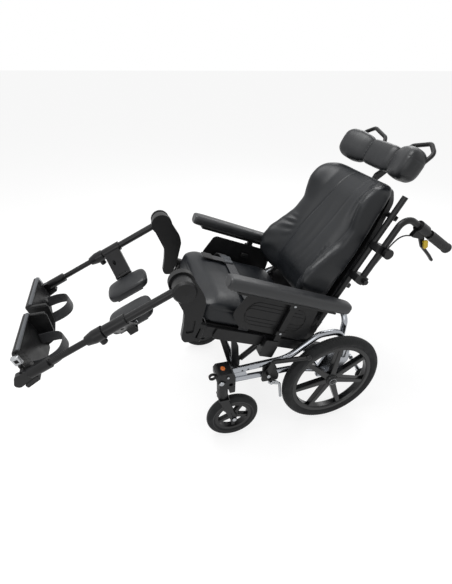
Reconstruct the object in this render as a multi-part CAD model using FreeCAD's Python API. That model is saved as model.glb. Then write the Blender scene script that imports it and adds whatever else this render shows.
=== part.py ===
import FreeCAD, Part
import math
import os

Vector = FreeCAD.Vector

# Frame: X to the occupant's left, Y to the rear, Z up, floor at Z = 0, millimetres.
# The chair is drawn as it stands in use: seat tilted back, legrests raised.
# Side views are drawn with f, the distance forward of the rear axle, and z, the height.

# Place and posture
rear_axle_y = 328.2            # rear axle behind the middle of the whole chair
seat_tilt = 22.0               # seat slope, degrees
back_lean = 27.0               # backrest slope from the vertical, degrees
leg_drop = 26.0                # legrest slope below the horizontal, degrees

# Wheels
rear_wheel_r = 200.0
rear_tyre_section = 21.0
rear_wheel_x = 277.0
rear_spokes = 7
rear_spoke_turn = 8.4          # angle of the first spoke below the forward line
rear_axle_r = 6.0
hub_r = 27.0
castor_r = 100.0
castor_tyre_section = 17.0
castor_x = 266.0
castor_stem_f = 429.0
castor_trail = 40.0
castor_spokes = 5
castor_axle_r = 4.0
castor_stem_r = 6.0
fork_thickness = 4.0
running_gap = 0.05             # radial clearance of a shaft in its bearing
free_gap = 0.5                 # side clearance of pieces that turn past each other
skin_gap = 0.3                 # clearance of a soft piece on its seat

# Base frame
side_tube_x = 240.0
upper_tube_r = 12.0
lower_tube_r = 11.0
hoop_x = 225.0
hoop_f = -47.0
hoop_top_z = 455.0
hoop_tube_r = 11.0
hoop_bend = 40.0
casting_rear_f = 388.0
cross_tube_f = 360.0
cross_tube_z = 262.0
cross_tube_r = 14.0
axle_plate_x = 232.0
axle_plate_thickness = 8.0
tie_eye_f = 465.0
tie_eye_z = 316.0
tie_eye_r = 8.0
tie_eye_outer = 13.5
rear_eye_f = 404.0
rear_eye_z = 284.0
rear_eye_r = 7.5
anti_tip_pivot_f = -72.0
anti_tip_pivot_z = 250.0
anti_tip_wheel_f = -192.0
anti_tip_wheel_z = 118.0
anti_tip_x = 202.0

# Parking brake
brake_lever_f = 262.0
brake_lever_z = 280.0
brake_shoe_f = 248.0
brake_shoe_z = 243.0
brake_pin_r = 5.0
brake_rod_r = 5.0

# Seat, in seat lines: a forward along the seat, b square up from it
seat_origin_f = 430.0
seat_origin_z = 420.0
tilt_a = -26.0
tilt_b = 30.0
tilt_pin_r = 7.0
rail_x0 = 196.0
rail_x1 = 216.0
rail_b0 = 20.0
rail_b1 = 58.0
rail_front_a = 75.0
rail_rear_a = -425.0
board_thickness = 6.0
cushion_front_a = 105.0
cushion_rear_a = -298.0
cushion_half_width = 208.0
cushion_height = 92.0
tilt_spring_x = 150.0
tilt_spring_f = 340.0
tilt_spring_z = 255.0
tilt_spring_a = -220.0
tilt_spring_b = 15.0
spring_barrel_r = 11.0
spring_rod_r = 4.0
spring_pin_r = 4.0
spring_eye_r = 8.0
spring_eye_width = 12.0
open_eye_gap = 2.0             # play at the end of a gas spring where the link is left open
tilt_rod_start = 26.0          # inner end of the rod from the barrel's pin: extends in use
recline_rod_start = 66.0       # this one is pushed in as the back reclines

# Backrest, in back lines: h up along the back, t square to the rear
back_pivot_f = 75.0
back_pivot_z = 400.0
back_pin_r = 8.0
back_tube_x = 207.0
back_tube_t = 8.0
back_tube_r = 10.0
back_height = 540.0
shell_half_width = 193.0
shell_thickness = 20.0
shell_wall = 5.0
back_lever_h = -98.0
recline_spring_a = -110.0
recline_spring_b = 8.0
handle_x = 232.0
handle_t = 33.0
handle_tube_r = 11.0
handle_top_h = 493.0
grip_r = 16.0
grip_start_t = 170.0
grip_end_t = 286.0
grip_droop = 9.0
lever_pivot_t = 140.0
lever_pivot_h = 464.0

# Headrest
post_t = 34.0
post_r = 8.0
headrest_h = 626.0
headrest_half_width = 194.0
headrest_pivot_h = 640.0
headrest_pivot_t = 62.0
headrest_plate_t = 29.3

# Armrests
arm_post_a = -190.0
arm_post_x0 = 232.0
arm_post_x1 = 244.0
arm_post_width = 22.0
pad_x = 254.0
pad_half_width = 28.0
pad_front_a = 83.0
pad_rear_a = -385.0
pad_b0 = 232.0
pad_b1 = 275.0
panel_x = 224.0
panel_thickness = 4.0

# Legrests, in leg lines: s down along the leg, n square to it on the shin side
knee_f = 545.0
knee_z = 685.0
knee_hub_r = 33.0
knee_pin_r = 8.0
swing_pin_x = 225.0
swing_pin_a = 84.0
swing_pin_r = 5.0
leg_tube_x = 250.0
leg_tube_r = 12.5
leg_tube_length = 285.0
foot_tube_r = 10.0
foot_tube_end = 520.0
calf_hinge_x = 168.0
calf_hinge_n = -80.0
calf_pad_x = 96.0
calf_pad_half_width = 56.0
calf_pad_s0 = 140.0
calf_pad_s1 = 302.0
calf_pad_n = -70.0
calf_pad_thickness = 40.0
foot_hinge_s = 530.0
foot_plate_angle = 73.0
foot_plate_x0 = 22.0
foot_plate_x1 = 218.5
foot_plate_heel = -88.0
foot_plate_toe = 65.0
foot_plate_thickness = 9.0
foot_hinge_x = 227.0
foot_hinge_v = -4.5
foot_hinge_pin_r = 3.0
calf_knuckle_s0 = 212.0
calf_knuckle_s1 = 244.0
calf_pin_r = 3.0
heel_strap_u = -48.0
heel_strap_width = 40.0

# Lap belt
belt_front_a = -46.0
belt_width = 38.0
belt_thickness = 2.4
buckle_x = -105.0

ground = (0.0, 0.0, 0.0)
seat = (seat_origin_f, seat_origin_z, seat_tilt)
back = (back_pivot_f, back_pivot_z, 90.0 + back_lean)
leg = (knee_f, knee_z, -leg_drop)
sides = ((1, "left"), (-1, "right"))
nodes = {}


def place(frame, x, u, v):
    """Point at x, u along the frame's line and v square to it."""
    turn = math.radians(frame[2])
    f = frame[0] + u * math.cos(turn) - v * math.sin(turn)
    z = frame[1] + u * math.sin(turn) + v * math.cos(turn)
    return Vector(x, rear_axle_y - f, z)


def joined(solids):
    """One solid out of solids that touch or cross."""
    result = solids[0].multiFuse(solids[1:]) if len(solids) > 1 else solids[0]
    return result.removeSplitter()


def rounded_wire(points, radii, closed):
    """Straight runs joined by tangent arcs."""
    count = len(points)
    edges = []
    ends = []
    for i, point in enumerate(points):
        radius = radii[i] if isinstance(radii, (list, tuple)) else radii
        if radius <= 0 or (not closed and i in (0, count - 1)):
            ends.append((point, point, None))
            continue
        before = (point - points[i - 1]).normalize()
        after = (points[(i + 1) % count] - point).normalize()
        turn = before.getAngle(after)
        if turn < 1e-4:
            ends.append((point, point, None))
            continue
        reach = radius * math.tan(turn / 2)
        inward = (after - before).normalize()
        middle = point + inward * (radius / math.cos(turn / 2) - radius)
        ends.append((point - before * reach, point + after * reach, middle))
    for i, (start, stop, middle) in enumerate(ends):
        if middle is not None:
            edges.append(Part.Arc(start, middle, stop).toShape())
        if i == count - 1 and not closed:
            break
        following = ends[(i + 1) % count][0]
        if (following - stop).Length > 1e-6:
            edges.append(Part.LineSegment(stop, following).toShape())
    return Part.Wire(Part.__sortEdges__(edges))


def slab(frame, outline, x0, x1, radii=0.0):
    """Plate with an outline in a side view, from x0 to x1."""
    points = [place(frame, x0, u, v) for u, v in outline]
    wire = rounded_wire(points, radii, True)
    return Part.Face(wire).extrude(Vector(x1 - x0, 0, 0))


def bar(start, stop, radius):
    """Round bar between two points."""
    along = stop - start
    return Part.makeCylinder(radius, along.Length, start, along)


def pin(frame, u, v, x0, x1, radius):
    """Round bar across the chair."""
    return bar(place(frame, x0, u, v), place(frame, x1, u, v), radius)


def disc(frame, u, v, x0, x1, outer, bore):
    """Round eye across the chair with a bore."""
    low, high = min(x0, x1), max(x0, x1)
    hole = pin(frame, u, v, low - 1, high + 1, bore)
    return pin(frame, u, v, low, high, outer).cut(hole)


def bent_tube(points, bend, outer, inner=0.0):
    """Tube along straight runs and tangent arcs."""
    path = rounded_wire(points, bend, False)
    along = (points[1] - points[0]).normalize()
    solid = Part.Wire(Part.makeCircle(outer, points[0], along))
    solid = path.makePipeShell([solid], True, False)
    if inner <= 0:
        return solid
    bore = Part.Wire(Part.makeCircle(inner, points[0], along))
    return solid.cut(path.makePipeShell([bore], True, False))


def turned(x_mid, f, z, profile):
    """Ring about an axis across the chair; profile holds (x, r) pairs."""
    centre = place(ground, x_mid, f, z)
    points = [centre + Vector(x, 0, r) for x, r in profile]
    face = Part.Face(Part.makePolygon(points + [points[0]]))
    return face.revolve(centre, Vector(1, 0, 0), 360)


def ring_wire(points):
    """Closed wire of arcs and lines: corner, through point or None, corner, and so on."""
    edges = []
    for i in range(0, len(points), 2):
        start, through = points[i], points[i + 1]
        stop = points[(i + 2) % len(points)]
        if through is None:
            edges.append(Part.LineSegment(start, stop).toShape())
        else:
            edges.append(Part.Arc(start, through, stop).toShape())
    return Part.Wire(edges)


def pad_wire(spot, half, low, high, crown, corner, bulge):
    """Section of a padded piece: flat below, bulged sides and a crowned top."""
    near = corner * 0.29
    w = half - corner
    return ring_wire([
        spot(-w, low), None,
        spot(w, low), spot(half - near, low + near),
        spot(half, low + corner), spot(half + bulge, (low + high) / 2),
        spot(half, high - corner), spot(half - near, high - near),
        spot(w, high), spot(0, high + crown),
        spot(-w, high), spot(-half + near, high - near),
        spot(-half, high - corner), spot(-half - bulge, (low + high) / 2),
        spot(-half, low + corner), spot(-half + near, low + near)])


def loft(wires):
    return Part.makeLoft(wires, True, True)


def mirrored(solid):
    """The same piece on the occupant's right."""
    return solid.mirror(Vector(0, 0, 0), Vector(1, 0, 0))


def both(name, solid):
    """A left piece and its mirrored right piece, each a node of its own."""
    nodes[name + "_left"] = [solid]
    nodes[name + "_right"] = [mirrored(solid)]


def both_lists(name, solids):
    nodes[name + "_left"] = solids
    nodes[name + "_right"] = [mirrored(solid) for solid in solids]


def pair(solid):
    return [solid, mirrored(solid)]


def strap(route, radii, thickness, across):
    """Webbing along a route of straight runs and tangent arcs, thickened to one side."""
    wire = rounded_wire(route, list(radii), False)
    face = wire.makeOffset2D(thickness, 0, True, True)
    return face.extrude(across)


def stadium(a, b, half, tall):
    """Corners of a long oval of the given half length and half height about a, b."""
    return ((a - half, b - tall), (a + half, b - tall), (a + half, b + tall), (a - half, b + tall))


def side_frame():
    """Silver side frame: two tubes from the front casting, arched over behind the wheel,
    with the axle plate, its bearing and the anti-tip stub."""
    front = casting_rear_f
    upper = bent_tube([place(ground, side_tube_x, f, z) for f, z in (
        (front, 301.0), (178.0, 311.0), (62.0, 397.0), (-18.0, 397.0), (-62.0, 330.0),
        (-62.0, 268.0))], [0, 120.0, 60.0, 45.0, 40.0, 0], upper_tube_r)
    lower = bent_tube([place(ground, side_tube_x, f, z) for f, z in (
        (front, 257.0), (150.0, 254.0), (14.0, 214.0))], 90.0, lower_tube_r)
    weld = slab(ground, ((front, 262), (front, 296), (338, 293), (326, 262)),
                side_tube_x - 2.5, side_tube_x + 2.5, (0, 0, 8.0, 0))
    plate = slab(ground, ((42, 178), (42, 232), (-14, 340), (-84, 340), (-92, 236), (-34, 168)),
                 axle_plate_x, axle_plate_x + axle_plate_thickness, (16, 14, 12, 12, 18, 20))
    bearing_end = rear_wheel_x - rear_tyre_section - free_gap
    bearing = pin(ground, 0, rear_wheel_r, axle_plate_x - 8, bearing_end, 16.0)
    stub = pin(ground, anti_tip_pivot_f, anti_tip_pivot_z, 192.0, axle_plate_x, 7.0)
    stub_head = pin(ground, anti_tip_pivot_f, anti_tip_pivot_z, 189.0, 192.5, 11.0)
    body = joined([upper, lower, weld, plate, bearing, stub, stub_head])
    bore = pin(ground, 0, rear_wheel_r, 200.0, 270.0, rear_axle_r + running_gap)
    body = body.cut(bore)
    for f in (352.0, 330.0, 284.0):
        top = 301.0 + (front - f) * 0.0476
        body = body.cut(pin(ground, f, top, side_tube_x, side_tube_x + 20, 3.5))
    return body


def cross_members(frames):
    """Rear hoop and the cross tubes between the side frames."""
    hoop = bent_tube([place(ground, x, hoop_f, z) for x, z in (
        (hoop_x, 232.0), (hoop_x, hoop_top_z), (-hoop_x, hoop_top_z), (-hoop_x, 232.0))],
        hoop_bend, hoop_tube_r, hoop_tube_r - 2.0)
    front = pin(ground, cross_tube_f, cross_tube_z, -side_tube_x, side_tube_x, cross_tube_r)
    rear = pin(ground, 30.0, 212.0, -axle_plate_x, axle_plate_x, 12.0)
    solids = []
    lugs = []
    for sign in (1, -1):
        for offset in (-9.0, 9.0):
            x = sign * tilt_spring_x + offset
            lugs.append(slab(ground, ((cross_tube_f - 4, cross_tube_z - 10),
                                      (cross_tube_f - 4, cross_tube_z + 10),
                                      (tilt_spring_f - 8, tilt_spring_z + 9),
                                      (tilt_spring_f - 8, tilt_spring_z - 9)),
                             x - 2.0, x + 2.0))
        lugs.append(pin(ground, tilt_spring_f, tilt_spring_z, sign * tilt_spring_x - 11,
                        sign * tilt_spring_x + 11, spring_pin_r))
    front = joined([front] + lugs)
    for solid in (hoop, front, rear):
        for frame in frames:
            solid = solid.cut(frame)
        solids.append(max(solid.Solids, key=lambda item: item.Volume))
    return solids


def castor_housing():
    """Casting on the front of the side frame: steering bearing, top block and tie-down eyes."""
    web = slab(ground, ((casting_rear_f, 243), (casting_rear_f, 318), (400, 338), (446, 338),
                        (454, 326), (454, 298), (418, 290), (408, 243)),
               side_tube_x - 13, castor_x + 22, (4, 8, 8, 8, 6, 10, 8, 4))
    barrel = bar(place(ground, castor_x, castor_stem_f, 214.0),
                 place(ground, castor_x, castor_stem_f, 310.0), 20.0)
    cheek = slab(ground, ((castor_stem_f - 19, 262), (castor_stem_f - 19, 322),
                          (castor_stem_f + 17, 322), (castor_stem_f + 17, 262)),
                 castor_x, castor_x + 21, 7.0)
    bolt = pin(ground, castor_stem_f, 296.0, castor_x + 20, castor_x + 25, 8.0)
    eyes = [disc(ground, tie_eye_f, tie_eye_z, castor_x - 4, castor_x + 4, tie_eye_outer, tie_eye_r),
            disc(ground, rear_eye_f, rear_eye_z, castor_x + 14, castor_x + 21, 13.0,
                 rear_eye_r)]
    body = joined([web, barrel, cheek, bolt] + eyes)
    body = body.cut(pin(ground, tie_eye_f, tie_eye_z, castor_x - 30, castor_x + 30, tie_eye_r))
    body = body.cut(pin(ground, rear_eye_f, rear_eye_z, castor_x + 10, castor_x + 30,
                        rear_eye_r))
    stem_bore = bar(place(ground, castor_x, castor_stem_f, 200.0),
                    place(ground, castor_x, castor_stem_f, 290.0), castor_stem_r + running_gap)
    return body.cut(stem_bore)


def tilt_strut():
    """Black upright strut with its bright face plate, from the cross tube to the tilt pin."""
    at = place(seat, 0, tilt_a, tilt_b)
    top_f, top_z = rear_axle_y - at.y, at.z
    outline = ((cross_tube_f - 16, cross_tube_z + 6), (cross_tube_f + 12, cross_tube_z + 8),
               (top_f - 18, top_z - 40), (top_f + 14, top_z + 2), (top_f, top_z + 15),
               (top_f - 16, top_z + 4), (cross_tube_f - 10, top_z - 70))
    black = slab(ground, outline, 182.0, 192.0, (3, 3, 30, 10, 10, 14, 40))
    bright = slab(ground, ((cross_tube_f + 6, cross_tube_z - 4), (cross_tube_f + 20, cross_tube_z - 4),
                           (top_f + 24, top_z - 24), (top_f + 10, top_z - 10)), 176.0, 182.0, 4.0)
    body = joined([black, bright])
    bar_solid = pin(ground, cross_tube_f, cross_tube_z, 150.0, 220.0, cross_tube_r)
    tilt = pin(seat, tilt_a, tilt_b, 170.0, 230.0, tilt_pin_r + running_gap)
    return body.cut(bar_solid).cut(tilt)


def brake_clamp():
    """Clamp of the parking brake on the two side tubes, with the two pivot pins."""
    plate = slab(ground, ((278, 234), (214, 230), (212, 254), (236, 316), (276, 312)),
                 side_tube_x + upper_tube_r + skin_gap, 259.0, 8.0)
    block = slab(ground, ((268, 267.5), (222, 266.5), (222, 294), (268, 291)),
                 side_tube_x - 8, 256.0, 2.0)
    lever_pin = pin(ground, brake_lever_f, brake_lever_z, 256.0, 276.0, brake_pin_r)
    shoe_pin = pin(ground, brake_shoe_f, brake_shoe_z, 256.0, 282.0, brake_pin_r)
    return joined([plate, block, lever_pin, shoe_pin])


def brake_lever():
    """Flat lever with the long sleeved handle of the parking brake."""
    plate = slab(ground, ((271, 268), (273, 288), (246, 338), (232, 334), (250, 272)),
                 263.0, 268.0, (8, 8, 5, 5, 8))
    handle = bar(place(ground, 266.0, 242.0, 331.0), place(ground, 306.0, 130.0, 362.0), 8.5)
    knob = Part.makeSphere(11.0, place(ground, 306.0, 130.0, 362.0))
    body = joined([plate, handle, knob])
    return body.cut(pin(ground, brake_lever_f, brake_lever_z, 250, 280, brake_pin_r + running_gap))


def brake_shoe():
    """Short arm and the steel rod that presses on the tyre."""
    f, z = brake_shoe_f, brake_shoe_z
    arm = slab(ground, ((f + 10, z - 6), (f + 8, z + 9), (f - 22, z - 2), (f - 34, z - 12),
                        (f - 30, z - 22)), 270.0, 276.0, 4.0)
    rod = bent_tube([place(ground, *spot) for spot in (
        (273.0, f - 14, z - 6), (273.0, f - 36, z - 19), (277.0, f - 44, z - 86))],
        8.0, brake_rod_r)
    body = joined([arm, rod])
    return body.cut(pin(ground, f, z, 250, 290, brake_pin_r + running_gap))


def rear_wheel():
    """Moulded wheel: hub, thick spokes and rim, on its quick release axle."""
    half = 15.0
    rim_out = rear_wheel_r - 2 * rear_tyre_section + 8
    rim_in = 146.0
    rim = turned(rear_wheel_x, 0, rear_wheel_r, (
        (-half, rim_in + 4), (-half + 5, rim_in), (half - 5, rim_in), (half, rim_in + 4),
        (half, rim_out), (-half, rim_out)))
    hub = turned(rear_wheel_x, 0, rear_wheel_r, (
        (-19.0, 0), (-19.0, 18.0), (-8.0, hub_r), (14.0, hub_r - 3), (20.0, hub_r - 7), (21.0, 0)))
    solids = [rim, hub]
    for k in range(rear_spokes):
        spoke = slab(ground, ((0, -13), (0, 13), (rim_in + 3, 8.5), (rim_in + 3, -8.5)),
                     rear_wheel_x - 10, rear_wheel_x + 12)
        spoke = spoke.makeFillet(3.0, [e for e in spoke.Edges if abs(e.tangentAt(0).x) < 0.1
                                       and e.Length > 60])
        spoke.rotate(place(ground, 0, 0, 0), Vector(1, 0, 0), 360.0 / rear_spokes * k + rear_spoke_turn)
        spoke.translate(Vector(0, 0, rear_wheel_r))
        solids.append(spoke)
    axle = pin(ground, 0, rear_wheel_r, 222.0, rear_wheel_x, rear_axle_r)
    wheel = joined(solids + [axle])
    tyre_space = Part.makeTorus(rear_wheel_r - rear_tyre_section, rear_tyre_section + running_gap,
                                place(ground, rear_wheel_x, 0, rear_wheel_r), Vector(1, 0, 0))
    return wheel.cut(tyre_space)


def rear_tyre():
    return Part.makeTorus(rear_wheel_r - rear_tyre_section, rear_tyre_section,
                          place(ground, rear_wheel_x, 0, rear_wheel_r), Vector(1, 0, 0))


def castor_fork():
    """Pressed fork: steering stem, crown and two flat trailing legs."""
    crown_z = 2 * castor_r + 5.0
    half = castor_tyre_section + 3.5
    crown = slab(ground, ((castor_stem_f + 17, crown_z), (castor_stem_f + 17, crown_z + 7),
                          (castor_stem_f - 19, crown_z + 7), (castor_stem_f - 26, crown_z)),
                 castor_x - half - fork_thickness, castor_x + half + fork_thickness, 2.0)
    solids = [crown]
    axle_f = castor_stem_f - castor_trail
    for x0 in (castor_x + half, castor_x - half - fork_thickness):
        blade = slab(ground, ((castor_stem_f + 17, crown_z + 5), (castor_stem_f - 17, crown_z + 5),
                              (axle_f - 12, castor_r - 4), (axle_f, castor_r - 14),
                              (axle_f + 13, castor_r - 4)), x0, x0 + fork_thickness,
                     (4, 8, 8, 8, 8))
        for step in (18.0, 32.0):
            blade = blade.cut(pin(ground, axle_f + step * 0.34, castor_r + step, x0 - 2,
                                  x0 + fork_thickness + 2, 2.6))
        solids.append(blade)
    stem = bar(place(ground, castor_x, castor_stem_f, crown_z + 2),
               place(ground, castor_x, castor_stem_f, 280.0), castor_stem_r)
    axle = pin(ground, axle_f, castor_r, castor_x - half - fork_thickness - 3,
               castor_x + half + fork_thickness + 3, castor_axle_r)
    return joined(solids + [stem, axle])


def castor_wheel():
    """Castor wheel: a moulded rim with spokes, and its tyre as a solid of its own."""
    axle_f = castor_stem_f - castor_trail
    rim_out = castor_r - 2 * castor_tyre_section + 6
    rim_in = 58.0
    rim = turned(castor_x, axle_f, castor_r, ((-12, rim_in), (12, rim_in), (12, rim_out),
                                              (-12, rim_out)))
    hub = turned(castor_x, axle_f, castor_r, ((-19, 0), (-19, 11), (-12, 16), (12, 16),
                                              (19, 11), (19, 0)))
    solids = [rim, hub]
    for k in range(castor_spokes):
        spoke = slab(ground, ((0, -8), (0, 8), (rim_in + 3, 6), (rim_in + 3, -6)),
                     castor_x - 8, castor_x + 8)
        spoke.rotate(place(ground, 0, 0, 0), Vector(1, 0, 0), 360.0 / castor_spokes * k + 20)
        spoke.translate(Vector(0, -axle_f, castor_r))
        solids.append(spoke)
    wheel = joined(solids)
    centre = place(ground, castor_x, axle_f, castor_r)
    ring_r = castor_r - castor_tyre_section
    wheel = wheel.cut(Part.makeTorus(ring_r, castor_tyre_section + running_gap, centre,
                                     Vector(1, 0, 0)))
    wheel = wheel.cut(pin(ground, axle_f, castor_r, castor_x - 30, castor_x + 30,
                          castor_axle_r + running_gap))
    return [wheel, Part.makeTorus(ring_r, castor_tyre_section, centre, Vector(1, 0, 0))]


def anti_tip_arm(sign):
    """Anti-tip arm on its stub, with the stub axle of its small wheel."""
    f, z = anti_tip_pivot_f, anti_tip_pivot_z
    wheel_f, wheel_z = anti_tip_wheel_f, anti_tip_wheel_z
    mid = sign * anti_tip_x
    knee_f, knee_z = f - 56, z - 36
    knee = place(ground, mid, knee_f, knee_z)
    body = joined([
        pin(ground, f, z, mid - 9, mid + 9, 15.0),
        bar(place(ground, mid, f - 9, z - 5.8), knee, 8.0),
        pin(ground, knee_f, knee_z, mid - 9, mid + 9, 8.6),
        bar(knee, place(ground, mid, wheel_f, wheel_z), 8.0),
        pin(ground, wheel_f, wheel_z, mid - 9, mid + 9, 11.0),
        pin(ground, wheel_f, wheel_z, mid, sign * 235.0, 5.0),
        pin(ground, wheel_f, wheel_z, sign * 232.5, sign * 236.0, 9.0)])
    return body.cut(pin(ground, f, z, mid - 20, mid + 20, 7.0 + running_gap))


def anti_tip_wheel():
    return turned(222.0, anti_tip_wheel_f, anti_tip_wheel_z, (
        (-9, 5.0 + running_gap), (-9, 22), (-6, 27), (6, 27), (9, 22), (9, 5.0 + running_gap)))


def seat_frame():
    """Seat frame: two rails, cross bars, back hinge plates, armrest sockets, knuckles for the
    legrests and lugs for the gas springs."""
    solids = []
    lug_b = tilt_spring_b
    for sign in (1, -1):
        span = lambda p, q: (min(sign * p, sign * q), max(sign * p, sign * q))
        x0, x1 = span(rail_x0, rail_x1)
        solids.append(slab(seat, ((rail_rear_a, rail_b0), (rail_front_a, rail_b0),
                                  (rail_front_a, rail_b1), (rail_rear_a, rail_b1)), x0, x1, 3.0))
        x0, x1 = span(rail_x0, rail_x0 + 8)
        solids.append(slab(seat, ((-372, rail_b1 - 4), (-300, rail_b1 - 4), (-318, 122),
                                  (-336.6, 134), (-356, 122)), x0, x1, (0, 0, 12, 14, 12)))
        x0, x1 = span(rail_x1 - 2, 247.5)
        solids.append(slab(seat, ((-206, -8), (-152, -8), (-150, 62), (-206, 62)), x0, x1, 5.0))
        x0, x1 = span(tilt_spring_x - 9, tilt_spring_x + 9)
        for lug_x in (x0, x1):
            solids.append(slab(seat, ((tilt_spring_a - 12, lug_b - 10), (tilt_spring_a + 12, lug_b - 10),
                                      (tilt_spring_a + 16, 42), (tilt_spring_a - 16, 42)),
                               lug_x - 2, lug_x + 2, (8, 8, 0, 0)))
        x0, x1 = span(tilt_spring_x - 11, tilt_spring_x + 11)
        solids.append(pin(seat, tilt_spring_a, lug_b, x0, x1, spring_pin_r))
        x0, x1 = span(rail_x0 + 4, swing_pin_x)
        solids.append(slab(seat, ((rail_front_a - 6, rail_b0), (swing_pin_a + 7, rail_b0),
                                  (swing_pin_a + 7, rail_b1), (rail_front_a - 6, rail_b1)),
                           x0, x1, 3.0))
        knuckle = bar(place(seat, sign * swing_pin_x, swing_pin_a, rail_b0),
                      place(seat, sign * swing_pin_x, swing_pin_a, rail_b1), 10.0)
        solids.append(knuckle)
    solids.append(slab(seat, ((50, 30), (70, 30), (70, 50), (50, 50)), -rail_x0, rail_x0, 3.0))
    solids.append(pin(seat, tilt_spring_a, 40.0, -rail_x0, rail_x0, 11.0))
    solids.append(pin(seat, -385.0, 40.0, -rail_x0, rail_x0, 10.0))
    solids.append(pin(seat, recline_spring_a + 22, 38.0, -rail_x0, rail_x0, 10.0))
    for x in (-9.0, 9.0):
        solids.append(slab(seat, ((recline_spring_a - 9, recline_spring_b - 8),
                                  (recline_spring_a + 10, recline_spring_b - 8),
                                  (recline_spring_a + 30, 32), (recline_spring_a + 16, 44),
                                  (recline_spring_a - 9, recline_spring_b + 8)),
                           x - 2, x + 2, (6, 6, 0, 0, 6)))
    solids.append(pin(seat, recline_spring_a, recline_spring_b, -11, 11, spring_pin_r))
    body = joined(solids)
    gap = running_gap
    for sign in (1, -1):
        body = body.cut(pin(back, 0, 0, sign * 180, sign * 230, back_pin_r + gap))
        body = body.cut(bar(place(seat, sign * swing_pin_x, swing_pin_a, 0),
                            place(seat, sign * swing_pin_x, swing_pin_a, 80), swing_pin_r + gap))
        post_x0, post_x1 = arm_post_x0 - gap, arm_post_x1 + gap
        if sign < 0:
            post_x0, post_x1 = -post_x1, -post_x0
        half = arm_post_width / 2 + gap
        body = body.cut(slab(seat, ((arm_post_a - half, -20), (arm_post_a + half, -20),
                                    (arm_post_a + half, 80), (arm_post_a - half, 80)),
                             post_x0, post_x1))
    pins = [pin(seat, tilt_a, tilt_b, 180.0 - free_gap, rail_x0 + 10, tilt_pin_r)]
    return joined([body] + pins + [mirrored(item) for item in pins])


def seat_board():
    half = rail_x1 - 11
    return slab(seat, ((-296, rail_b1 + skin_gap), (68, rail_b1 + skin_gap),
                       (68, rail_b1 + board_thickness), (-296, rail_b1 + board_thickness)),
                -half, half, 2.0)


def seat_cushion():
    """Seat cushion: flat below, crowned on top, sides drawn in between its corners and a
    rounded front edge."""
    low = rail_b1 + board_thickness + skin_gap
    top = low + cushion_height
    w = cushion_half_width
    sections = ((cushion_rear_a, w - 6, 10, 2, 14), (-272, w, 0, 4, 20), (-190, w - 5, 0, 8, 20),
                (-60, w - 6, 2, 9, 20), (40, w - 2, 0, 9, 20), (80, w, 5, 7, 24),
                (cushion_front_a, w - 8, 22, 3, 18))
    wires = []
    for a, half, drop, crown, corner in sections:
        base = low + (8.0 if a == cushion_front_a else 0.0)
        spot = lambda x, b, a=a: place(seat, x, a, b)
        wires.append(pad_wire(spot, half, base, top - drop - crown, crown, corner, 2.0))
    return loft(wires)


def side_cover():
    """Bare cover plate on the outside of the seat rail."""
    return slab(seat, ((-148, 18), (30, 18), (35, 34), (30, 61), (-148, 61)),
                rail_x1 + 0.2, rail_x1 + 7, (4, 8, 8, 8, 4))


def lap_belt():
    """Lap belt lying over the seat cushion, with its loose end and the buckle."""
    top = rail_b1 + board_thickness + skin_gap + cushion_height
    route = [place(seat, x, belt_front_a, b) for x, b in (
        (-210, rail_b1), (-210, top - 24), (-184, top - 4), (0, top + 4), (184, top - 4),
        (210, top - 24), (210, rail_b1))]
    band = strap(route, (0, 14, 20, 400, 20, 14, 0), belt_thickness,
                 place(seat, 0, belt_front_a - belt_width, 0) - place(seat, 0, belt_front_a, 0))
    low, high = top + 1.0, top + 1.0 + belt_thickness
    loose = slab(seat, ((belt_front_a - 4, low), (44, low), (44, high), (belt_front_a - 4, high)),
                 buckle_x - 19, buckle_x + 19)
    buckle = slab(seat, ((belt_front_a - belt_width - 4, top - 3), (belt_front_a + 6, top - 3),
                         (belt_front_a + 6, top + 12), (belt_front_a - belt_width - 4, top + 12)),
                  buckle_x - 27, buckle_x + 27, (2, 5, 5, 2))
    return joined([band.cut(buckle), loose.cut(buckle), buckle])


def gas_spring(start, stop, eye_gap, rod_start):
    """Barrel and rod of a gas spring between two cross pins, as two solids; rod_start is how
    deep the rod's end stands in the barrel, measured from the barrel's pin."""
    along = (stop - start).normalize()
    length = (stop - start).Length
    half = spring_eye_width / 2
    x = Vector(1, 0, 0)
    eye = Part.makeCylinder(spring_eye_r - 1.2, spring_eye_width, start - x * half, x)
    barrel_start = start + along * 17
    barrel_end = start + along * (length * 0.5 + 22.0)
    barrel = joined([eye, bar(start + along * 4, barrel_start + along, 5.5),
                     bar(barrel_start, barrel_end, spring_barrel_r)])
    barrel = barrel.cut(bar(start + along * 24, barrel_end + along * 2, spring_rod_r + running_gap))
    barrel = barrel.cut(Part.makeCylinder(spring_pin_r + running_gap, 40, start - x * 20, x))
    far_eye = Part.makeCylinder(spring_eye_r, spring_eye_width, stop - x * half, x)
    rod = joined([far_eye, bar(start + along * rod_start, stop - along * 2, spring_rod_r)])
    hole = Part.makeCylinder(spring_pin_r + eye_gap, 40, stop - x * 20, x)
    return barrel, rod.cut(hole)


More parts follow.
